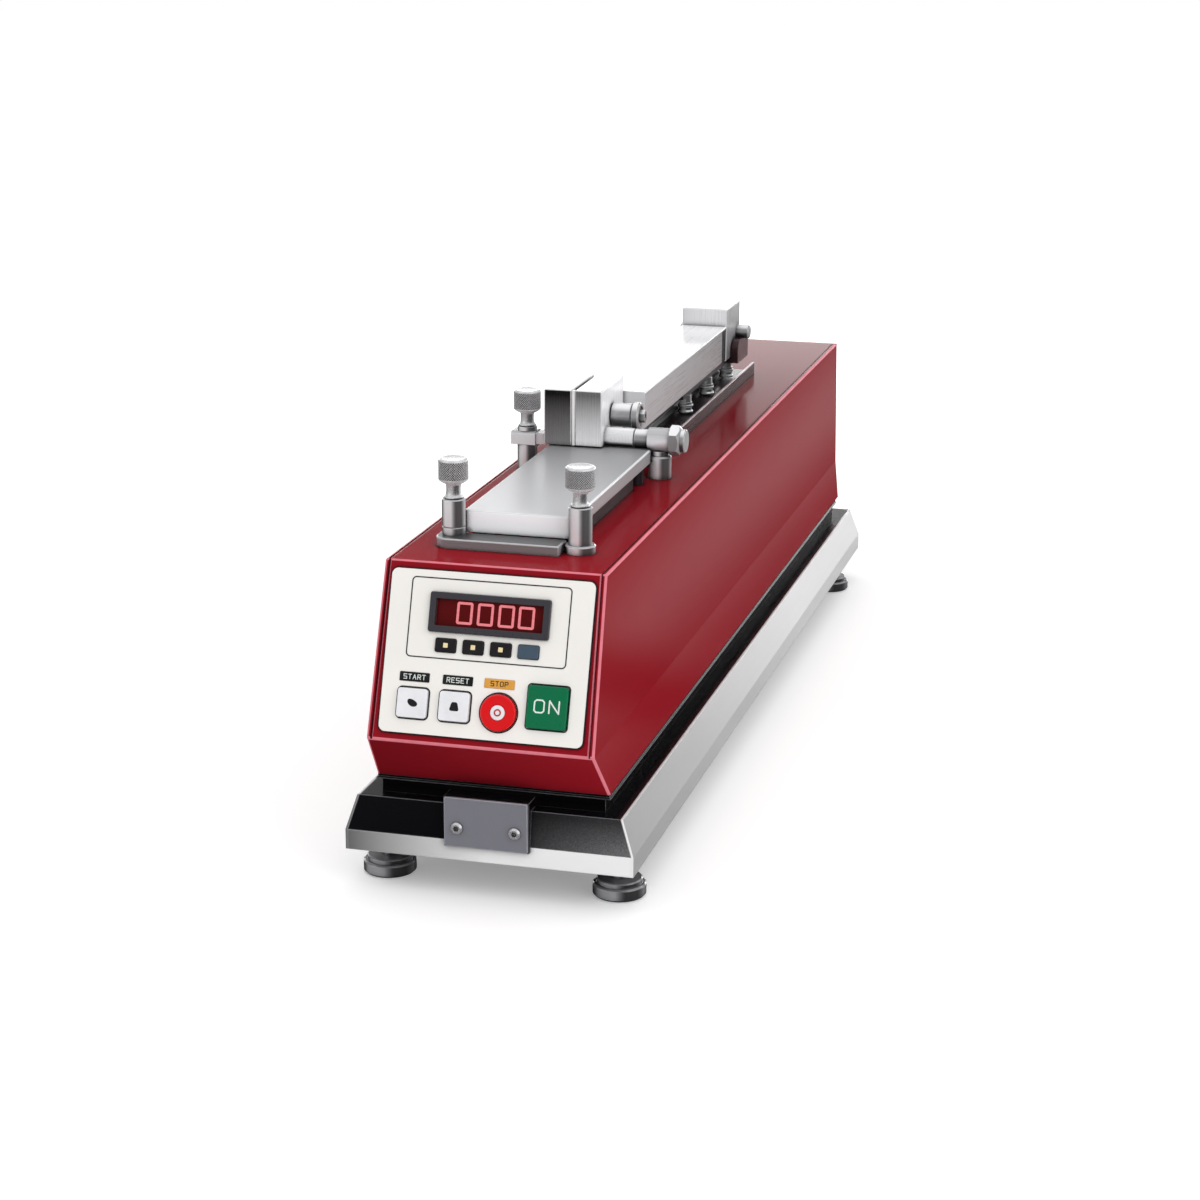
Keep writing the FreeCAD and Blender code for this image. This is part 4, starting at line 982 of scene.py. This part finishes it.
        # Painted highlight: the top faces of the rail channel above its flange foot made many times lighter.
        self.anodised = Metal(
            "dark_anodised", (0.030, 0.020, 0.023), Grain.ALONG_STROKE, 0.28, 0.3, edge=1.0, edge_radius=0.9,
            edge_light=0.6, tones=(FaceTone(top, 2, 187.0, 188.0, 1.0, 18.0),)).make()
        self.bracket = Metal("bracket_red_black", (0.05, 0.022, 0.027), Grain.UPRIGHT, 0.2, 0.4, edge=0.5,
                             edge_radius=0.7).make()
        self.oxide = Metal("black_oxide", (0.010, 0.010, 0.012), Grain.ALONG_STROKE, 0.4, 0.3, edge=0.2).make()
        self.bearing = Metal("bearing_steel", (0.82, 0.83, 0.84), Grain.TURNED_UPRIGHT, 0.16, 0.4,
                             tones=(dark_tone,)).make()
        self.foot = Metal("foot_steel", (0.31, 0.31, 0.325), Grain.TURNED_UPRIGHT, 0.16, 0.35,
                          edge_radius=0.6, tones=round_tones).make()
        self.sheet = Metal("plated_sheet", (0.55, 0.56, 0.57), Grain.ACROSS, 0.38).make()
        self.pulley = Metal("pulley_alloy", (0.62, 0.63, 0.65), Grain.TURNED_ACROSS, 0.28).make()

    def mouldings(self) -> None:
        """Make the plastics, inks, rubber, board and the lit counter."""
        self.bezel = Moulding("bezel_plastic", (0.045, 0.042, 0.05), 0.3, edge_radius=0.5).make()
        self.key = Moulding("key_plastic", (0.012, 0.010, 0.012), 0.35).make()
        self.blue_key = Moulding("blue_key_plastic", (0.06, 0.092, 0.13), 0.35).make()
        self.white = Moulding("white_plastic", (0.86, 0.86, 0.89), 0.25, coat=0.2).make()
        self.stop = Moulding("stop_plastic", (0.74, 0.004, 0.007), 0.22, coat=0.4).make()
        self.green = Moulding("green_plastic", (0.0005, 0.155, 0.06), 0.3, coat=0.1,
                              edge_radius=0.7).make()
        self.ink = Moulding("black_ink", (0.010, 0.010, 0.012), 0.5).make()
        self.white_ink = Moulding("white_ink", (0.82, 0.88, 0.82), 0.5).make()
        self.cream_ink = Moulding("cream_ink", (0.90, 0.74, 0.42), 0.5).make()
        self.amber = Moulding("amber_label", (0.76, 0.36, 0.06), 0.45).make()
        self.red_ink = Moulding("red_ink", (0.50, 0.02, 0.02), 0.5).make()
        self.shim = Moulding("white_shim", (0.95, 0.95, 0.95), 0.5).make()
        self.inlet = Moulding("inlet_plastic", (0.012, 0.012, 0.013), 0.5).make()
        self.rubber = Moulding("belt_rubber", (0.012, 0.012, 0.012), 0.75, sheen=0.2).make()
        self.board = Moulding("board_mask", (0.012, 0.09, 0.03), 0.3, coat=0.5).make()
        self.pad = Moulding("dark_pad", (0.010, 0.010, 0.012), 0.5).make()
        self.window = Filter("red_filter", (0.11, 0.004, 0.005), (0.085, 0.003, 0.0035)).make()
        self.segment = Glow("lit_segment", (0.90, 0.24, 0.27), 0.95).make()


def dress(**finishes: Material) -> None:
    """Give CAD nodes their finishes.

    Args:
        finishes: Finish by node, each in place of the node's plain one.
    """
    for node, material in finishes.items():
        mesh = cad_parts[node].data
        mesh.materials.clear()
        mesh.materials.append(material)
        log.info("dressed %s with %s", node, material.name)


def settle(piece: Piece, body: str) -> Piece:
    """Let a finished piece ride on its body.

    Args:
        piece: The finished piece.
        body: Name of the CAD body that carries it.

    Returns:
        The same piece.
    """
    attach(piece, body)
    log.info("made %s on %s, %d faces", piece.name, body, len(piece.data.polygons))
    return piece


@dataclass
class Console:
    """Red housing, its rear panel with the mains inlet, and the drive inside."""

    cabinet: Cabinet

    def build(self) -> None:
        """Dress the housing and everything that hides in it."""
        c = self.cabinet
        dress(housing_shell=c.red, rear_panel=c.rear_red, power_inlet=c.inlet, circuit_board=c.board,
              power_supply=c.sheet, drive_motor=c.motor, drive_brackets=c.sheet, drive_belt=c.rubber,
              drive_link=c.oxide, motor_pulley=c.pulley, idler_pulley=c.pulley)


@dataclass
class ControlPanel:
    """Off-white plate with the counter, its keys, four larger buttons and their labels."""

    cabinet: Cabinet
    plane: PanelPlane = field(default_factory=PanelPlane)
    line_width: float = 0.55
    line_height: float = 0.12
    ink_height: float = 0.10
    digit_size: tuple[float, float] = (7.4, 10.4)
    digit_left: tuple[float, ...] = (-18.4, -7.1, 4.3, 15.2)
    digit_t: float = 25.7
    disc_steps: int = 48
    button_t: float = 74.6
    button_u: tuple[float, float] = (-37.7, -14.7)
    stop_at: tuple[float, float] = (9.3, 75.8)
    switch_at: tuple[float, float] = (35.4, 70.6)
    label_t: float = 60.9
    key_pitch: float = 15.0
    key_t: float = 43.2
    key_top: float = 2.6
    button_top: float = 3.6

    def show(self, name: str, part: Part, material: Material, body: str) -> None:
        """Place a part of (u, t, w) points on the slope and let it ride on its body."""
        points, faces = part
        settle(mesh_piece(name, self.plane.place(points), faces, material), body)

    def outlines(self) -> None:
        """Draw the line round the counter, the dark joints round the plate and the white buttons."""
        top = self.plane.plate
        fine = (self.line_width, self.line_height)
        switch_u, switch_t = self.switch_at
        buttons = tuple((u, self.button_t, top) for u in self.button_u)
        lines = (("counter_frame_line", rounded_outline(86.6, 41.8, 2.2), fine, ((-0.4, 29.3, top),)),
                 ("plate_joint", rounded_outline(111.5, 86.8, 3.8), (0.5, 0.75), ((0.0, 47.45, 0.0),)),
                 ("white_button_rims", rounded_outline(17.6, 16.8, 2.6), fine, buttons),
                 ("power_switch_rim", rounded_outline(22.7, 23.7, 1.9), fine,
                  ((switch_u, switch_t + 0.4, top),)),
                 ("stop_button_rim", circle(72) * 10.35, (0.6, self.line_height), ((*self.stop_at, top),)))
        for name, outline, section, places in lines:
            bands = join_parts([moved(loop_band(outline, *section), *place) for place in places])
            self.show(name, bands, self.cabinet.ink, "frame")

    def counter(self) -> None:
        """Light four zeros of six segments each behind the window."""
        wide, high = self.digit_size
        stroke = 1.35
        segment_gap = 0.35
        half = high / 2
        bars = []
        ends = [((0, 0), (wide, 0)), ((0, high), (wide, high)), ((0, 0), (0, half)), ((0, half), (0, high)),
                ((wide, 0), (wide, half)), ((wide, half), (wide, high))]
        for left in self.digit_left:
            for start, end in ends:
                first, last = np.array(start, float), np.array(end, float)
                along = (last - first) / np.linalg.norm(last - first)
                bar = StrokeFont.bar(first + along * segment_gap, last - along * segment_gap, stroke, 0.16)
                bars.append(moved(bar, left + stroke / 2, self.digit_t + half, 0.38))
        self.show("counter_segments", join_parts(bars), self.cabinet.segment, "frame")

    def keys(self) -> None:
        """Print a small cream square on the first three counter keys."""
        for index in range(4):
            node = f"counter_key_{index + 1}"
            dress(**{node: self.cabinet.blue_key if index == 3 else self.cabinet.key})
            if index == 3:
                continue
            u = (index - 1.5) * self.key_pitch
            square = moved(raised_patch(rounded_outline(2.5, 2.5, 0.3), self.ink_height, 0.03),
                           u + 0.2, self.key_t, self.key_top)
            self.show(f"key_mark_{index + 1}", square, self.cabinet.cream_ink, node)

    def labels(self) -> None:
        """Stick three small labels with plain words over the buttons."""
        top = self.plane.plate
        words = (("start_label", "START", -37.9, self.cabinet.ink, self.cabinet.white_ink),
                 ("reset_label", "RESET", -14.2, self.cabinet.ink, self.cabinet.white_ink),
                 ("stop_label", "STOP", 8.5, self.cabinet.amber, self.cabinet.ink))
        for name, word, u, ground, ink in words:
            strip = moved(raised_patch(rounded_outline(16.4, 4.9, 0.5), 0.22), u, self.label_t, top)
            self.show(name, strip, ground, "frame")
            text = StrokeFont.write(word, (1.6, 2.4), 0.95, 0.42, self.ink_height)
            self.show(f"{name}_word", moved(text, u, self.label_t, top + 0.2), ink, "frame")

    def buttons(self) -> None:
        """Print the marks on the white buttons, the stop button and the power switch."""
        c = self.cabinet
        top = self.button_top
        disc = circle(self.disc_steps)
        tilt = math.radians(-24)
        spin = np.array([[math.cos(tilt), math.sin(tilt)], [-math.sin(tilt), math.cos(tilt)]])
        bean = (disc * np.array([2.9, 1.75]) + np.array([0.0, 0.3]) * disc[:, :1] ** 2) @ spin
        dome = rounded_outline(5.0, 4.6, 1.1)
        dome[:, 0] *= np.interp(dome[:, 1], [-2.3, 2.3], [1.08, 0.62])
        marks = (("white_button_left", bean, -37.3), ("white_button_right", dome, -14.3))
        for node, outline, u in marks:
            dress(**{node: c.white})
            part = moved(raised_patch(outline, self.ink_height, 0.02), u, self.button_t, top)
            self.show(f"{node}_mark", part, c.ink, node)
        dress(stop_button=c.stop, power_switch=c.green)
        dot = moved(raised_patch(disc * 3.9, 0.3, 0.05), *self.stop_at, top - 0.5)
        self.show("stop_button_disc", dot, c.white, "stop_button")
        ring = moved(loop_band(disc * 1.55, 0.75, self.line_height), *self.stop_at, top - 0.17)
        self.show("stop_button_ring", ring, c.red_ink, "stop_button")
        word = StrokeFont.write("ON", (5.2, 6.4), 2.8, 0.85, self.ink_height)
        self.show("power_switch_word", moved(word, *self.switch_at, top), c.white_ink, "power_switch")

    def build(self) -> None:
        """Dress the plate and the counter, then add every printed and moulded detail."""
        c = self.cabinet
        dress(panel_plate=c.panel, counter_bezel=c.bezel, counter_window=c.window)
        self.outlines()
        self.counter()
        self.keys()
        self.labels()
        self.buttons()


@dataclass
class ThumbScrews:
    """Three knurled thumb screws and the knurled clamp knob of the head."""

    cabinet: Cabinet
    seats: tuple[tuple[str, float, float, float], ...] = (
        ("front_left", -35.2, -286.0, 205.2), ("front_right", 35.2, -286.0, 205.2),
        ("rear_left", -46.5, -108.0, 206.8))
    teeth: int = 38
    depth: float = 0.42
    knurl: tuple[float, float] = (10.8, 20.7)
    head_radius: float = 8.1
    steps: int = 360

    def mark_hollows(self, piece: Piece, points: np.ndarray) -> None:
        """Store how deep each point of the knurl lies, for the painted shade of its grooves.

        The value is 0 on the teeth and 1 at the bottom: (head radius minus the point's own) over the depth.

        Args:
            piece: The screw's mesh.
            points: Its points about the Z axis, in millimetres.
        """
        radius = np.hypot(points[:, 0], points[:, 1])
        low, high = self.knurl
        margin = 0.2
        inside = (points[:, 2] > low + margin) & (points[:, 2] < high - margin)
        deep = np.where(inside, np.clip((self.head_radius - radius) / self.depth, 0.0, 1.0), 0.0)
        layer = piece.data.attributes.new("hollow", "FLOAT", "POINT")
        layer.data.foreach_set("value", deep.astype(np.float32))

    def upright(self) -> None:
        """Turn each thumb screw and press its knurl."""
        profile = [(2.6, -14.7), (3.0, -14.3), (3.0, 0.3), (5.0, 0.3), (5.2, 0.5), (5.2, 0.9), (4.9, 1.3),
                   (4.3, 2.0), (4.0, 2.9), (3.9, 4.0), (3.9, 6.2), (4.1, 7.4), (4.4, 8.1), (6.0, 8.8),
                   (7.2, 9.6), (7.9, 10.2), (self.head_radius, 10.6), (self.head_radius, 20.9), (8.0, 21.3),
                   (7.5, 21.8), (7.0, 22.0), (6.4, 21.95), (3.0, 21.8)]
        points, faces = knurled_body(profile, self.steps, self.knurl, self.teeth, self.depth)
        for name, *seat in self.seats:
            node = f"thumb_screw_{name}"
            piece = mesh_piece(f"{node}_knurled", points + np.array(seat), faces, self.cabinet.knurled, 50)
            self.mark_hollows(piece, points)
            settle(piece, node)
            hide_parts(node)

    def build(self) -> None:
        """Make the knurled screws and dress the clamp knob."""
        self.upright()
        dress(clamp_knob=self.cabinet.turned_across)


@dataclass
class Base:
    """Cast base with bright trim, blank plate, fasteners and levelling feet."""

    cabinet: Cabinet

    def build(self) -> None:
        """Dress the base and its feet."""
        c = self.cabinet
        dress(base_casting=c.enamel, base_trim=c.trim, neck_plate=c.neck, blank_plate=c.plate,
              fasteners=c.zinc)
        dress(**{f"foot_{end}_{side}": c.foot for end in ("front", "rear") for side in ("left", "right")})


@dataclass
class SpecimenTable:
    """Platform with its bar, posts, spacers and the stroke sensor."""

    cabinet: Cabinet

    def build(self) -> None:
        """Dress the table and its posts."""
        c = self.cabinet
        # The spacers are dressed black oxide; the dark strip they make under the platform stands in for the
        # shade there.
        dress(platform=c.table, platform_spacers=c.oxide, front_bar=c.bar, front_posts=c.turned,
              rear_left_post=c.turned, rear_right_post=c.turned, sensor_rod=c.turned_across)


@dataclass
class RubbingArm:
    """Carriage on its rail, the arm with its pivot, and the split head with the finger."""

    cabinet: Cabinet
    split: tuple[float, float] = (-15.95, -14.25)
    shim_front: float = -118.85
    shim_depth: float = 4.0
    shim_foot: float = 198.8
    shim_top: float = 231.6

    def shim(self) -> None:
        """Set a white spacer strip in the split of the head, before the finger."""
        width = self.split[1] - self.split[0]
        points, faces = raised_patch(rounded_outline(width, self.shim_depth, 0.3, 4),
                                     self.shim_top - self.shim_foot, soften=0.1)
        middle = np.array([sum(self.split) / 2, self.shim_front + self.shim_depth / 2, self.shim_foot])
        settle(mesh_piece("head_shim", points + middle, faces, self.cabinet.shim), "arm")

    def build(self) -> None:
        """Dress the moving assembly and the rail it runs on."""
        c = self.cabinet
        dress(rail_channel=c.anodised, guide_rail=c.oxide, carriage_plate=c.oxide, wheel_axles=c.bearing,
              pivot_bracket=c.bracket, arm_bar=c.arm, arm_end_pads=c.pad, pivot_block=c.block,
              pivot_pin=c.turned_across, head_jaw_left=c.jaw_left, head_jaw_right=c.jaw_right,
              finger=c.turned)
        dress(**{f"guide_wheel_{side}_{index}": c.bearing for side in ("left", "right") for index in (1, 2, 3)})
        self.shim()


@dataclass
class Studio:
    """Pale floor, soft lamps, white surroundings and the camera."""

    camera_place: Vector3 = (0.39944, -1.61676, 0.55017)
    azimuth: float = 14.87
    elevation: float = 16.03
    roll: float = 0.23
    focal_pixels: float = 2686.87
    frame_pixels: float = 1200.0
    ambient: float = 0.52
    zenith: float = 1.25
    mirror_strength: float = 1.6
    lamp_place: Vector3 = (2.2, -1.5, 1.3)
    lamp_aim: Vector3 = (0.0, 0.0, 0.1)
    lamp_side: float = 1.8
    lamp_power: float = 20.0
    floor_mirror: float = 1.25
    floor_side: float = 6000.0
    floor_drop: float = 0.4
    walls: Pairs = (
        (0.0, 1.0), (0.14, 1.0), (0.20, 0.10), (0.27, 0.16), (0.33, 0.95), (0.41, 0.80), (0.45, 0.07),
        (0.58, 0.09), (0.64, 0.85), (0.72, 0.9), (0.78, 0.12), (0.83, 0.10), (0.88, 1.0), (1.0, 1.0))
    beside: Pairs = ((0.0, 0.02), (0.2, 0.25), (0.37, 1.0), (0.56, 0.18), (1.0, 0.18))
    rear: Pairs = (
        (0.0, 2.8), (0.190, 2.8), (0.205, 0.05), (0.30, 0.01), (0.45, 0.05), (0.7, 0.4), (1.0, 0.6))

    @staticmethod
    def stand(right: np.ndarray, up: np.ndarray, back: np.ndarray, place: Vector3) -> Matrix:
        """Matrix with three unit axes as its columns, then the place.

        Args:
            right: The object's own X axis.
            up: The object's own Y axis.
            back: The object's own Z axis, away from where it looks.
            place: Where it stands, in metres.

        Returns:
            The matrix.
        """
        turn = np.eye(4)
        turn[:3, :4] = np.column_stack([right, up, back, place])
        return Matrix(turn.tolist())

    def banded(self, bench: NodeBench, x: Socket, y: Socket) -> Socket:
        """Brightness of the banded walls in the direction (x, y), from the angle of (x, -y)."""
        turn = bench.maths("ARCTAN2", x, bench.times(y, -1.0))
        return bench.ramp(bench.spread(turn, 0.0, 1.0, -math.pi, math.pi), self.walls)

    def floor(self) -> None:
        """Lay a wide pale floor that keeps the object's shadow and runs into the white backdrop."""
        bench = ShaderBench("pale_floor")
        drift = bench.spread(bench.cloud((3.0, 3.0, 3.0), 3.0), 0.0, 1.0)
        pale = bench.mix(drift, (0.86, 0.86, 0.86), (0.88, 0.88, 0.88))
        path = bench.put("ShaderNodeLightPath")
        glossy = path.outputs["Is Glossy Ray"]
        bench.set(Base_Color=bench.mix(glossy, pale, (0.0, 0.0, 0.0)))
        beside = bench.spread(bench.maths("ABSOLUTE", bench.height(0), 0.0), 0.0, 1.0, 0.10, 0.34)
        beside = bench.ramp(beside, self.beside)
        walls = self.banded(bench, bench.height(0), bench.height(1))
        mirror = bench.times(beside, walls, glossy, self.floor_mirror)
        bench.set(Roughness=0.9, Specular_IOR_Level=0.0, Emission_Color=WHITE)
        away = bench.put("ShaderNodeVectorMath", operation="LENGTH")
        bench.wire(bench.where("Object"), away.inputs[0])
        lift = bench.spread(away.outputs["Value"], 0.26, 1.0, 0.45, 1.3)
        seen = bench.times(path.outputs["Is Camera Ray"], lift)
        bench.set(Emission_Strength=bench.maths("ADD", seen, mirror))
        grid = np.linspace(-self.floor_side, self.floor_side, 5)
        x, y = np.meshgrid(grid, grid, indexing="xy")
        points = np.stack([x.ravel(), y.ravel(), np.full(x.size, -self.floor_drop)], axis=-1)
        i, j = np.meshgrid(np.arange(4), np.arange(4), indexing="ij")
        corner = i * 5 + j
        faces = np.stack([corner, corner + 1, corner + 6, corner + 5], axis=-1).reshape(-1, 4)
        mesh_piece("studio_floor", points, faces, bench.material)

    def lamp(self) -> None:
        """Hang a square soft lamp at the side, aimed at the instrument and left out of reflections."""
        data = bpy.data.lights.new("side_softbox", "AREA")
        data.shape = "SQUARE"
        data.size = self.lamp_side
        data.energy = self.lamp_power
        lamp = bpy.data.objects.new("side_softbox", data)
        away = np.array(self.lamp_place) - np.array(self.lamp_aim)
        away /= np.linalg.norm(away)
        side = np.cross([0.0, 0.0, 1.0], away)
        side /= np.linalg.norm(side)
        lamp.matrix_world = self.stand(side, np.cross(away, side), away, self.lamp_place)
        lamp.visible_glossy = False
        bpy.context.scene.collection.objects.link(lamp)

    def surroundings(self) -> None:
        """White walls for the camera, even light for matt faces, and banded walls for metal."""
        world = bpy.data.worlds.new("studio")
        bpy.context.scene.world = world
        world.use_nodes = True
        world.cycles.sampling_method = "NONE"
        bench = NodeBench(world.node_tree)
        parts = bench.put("ShaderNodeSeparateXYZ")
        bench.wire(bench.where("Generated"), parts.inputs[0])
        x, y, z = parts.outputs
        walls = self.banded(bench, x, y)
        rear = bench.ramp(z, self.rear)
        left = bench.times(bench.spread(x, 0.30, 0.0, -0.35, -0.29), bench.spread(z, 0.0, 1.0, 0.23, 0.27))
        rear = bench.mix(left, rear, WHITE)
        behind = bench.spread(y, 0.0, 1.0, 0.62, 0.80)
        mirrored = bench.mix(behind, walls, rear)
        ceiling = bench.spread(z, 0.0, 1.0, 0.6, 0.85)
        mirrored = bench.mix(ceiling, mirrored, (0.55, 0.55, 0.55))
        reflected, plain, white = (bench.put("ShaderNodeBackground") for _ in range(3))
        reflected.inputs["Strength"].default_value = self.mirror_strength
        bench.wire(mirrored, reflected.inputs["Color"])
        bench.wire(bench.spread(z, self.ambient, self.zenith, 0.2, 0.9), plain.inputs["Strength"])
        for background in (plain, white):
            background.inputs["Color"].default_value = (*WHITE, 1.0)
        path = bench.put("ShaderNodeLightPath")
        shown = plain
        for ray, background in (("Is Glossy Ray", reflected), ("Is Camera Ray", white)):
            choice = bench.put("ShaderNodeMixShader")
            bench.wire(path.outputs[ray], choice.inputs[0])
            bench.wire(shown.outputs[0], choice.inputs[1])
            bench.wire(background.outputs[0], choice.inputs[2])
            shown = choice
        bench.wire(shown.outputs[0], bench.put("ShaderNodeOutputWorld").inputs[0])

    def camera(self) -> None:
        """Set the camera where the photographer stood, with the fitted focal length."""
        az, el, roll = (math.radians(v) for v in (self.azimuth, -self.elevation, self.roll))
        ahead = np.array([-math.sin(az) * math.cos(el), math.cos(az) * math.cos(el), math.sin(el)])
        right = np.cross(ahead, [0.0, 0.0, 1.0])
        right /= np.linalg.norm(right)
        up = np.cross(right, ahead)
        right, up = (math.cos(roll) * right + math.sin(roll) * up,
                     -math.sin(roll) * right + math.cos(roll) * up)
        data = bpy.data.cameras.new("camera")
        data.sensor_width = 36.0
        data.lens = self.focal_pixels / self.frame_pixels * data.sensor_width
        data.clip_end = 50.0
        camera = bpy.data.objects.new("camera", data)
        camera.matrix_world = self.stand(right, up, -ahead, self.camera_place)
        bpy.context.scene.collection.objects.link(camera)
        bpy.context.scene.camera = camera

    def build(self) -> None:
        """Set up floor, lamps, surroundings and camera."""
        self.floor()
        self.surroundings()
        self.lamp()
        self.camera()
        bpy.context.scene.view_settings.view_transform = "Standard"


def main() -> None:
    """Build every sub-assembly, then the studio."""
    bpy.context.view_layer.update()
    cabinet = Cabinet()
    for part in (Console(cabinet), ControlPanel(cabinet), ThumbScrews(cabinet), Base(cabinet),
                 SpecimenTable(cabinet), RubbingArm(cabinet), Studio()):
        part.build()
        log.info("finished %s", type(part).__name__)


if __name__ == "__main__":
    main()
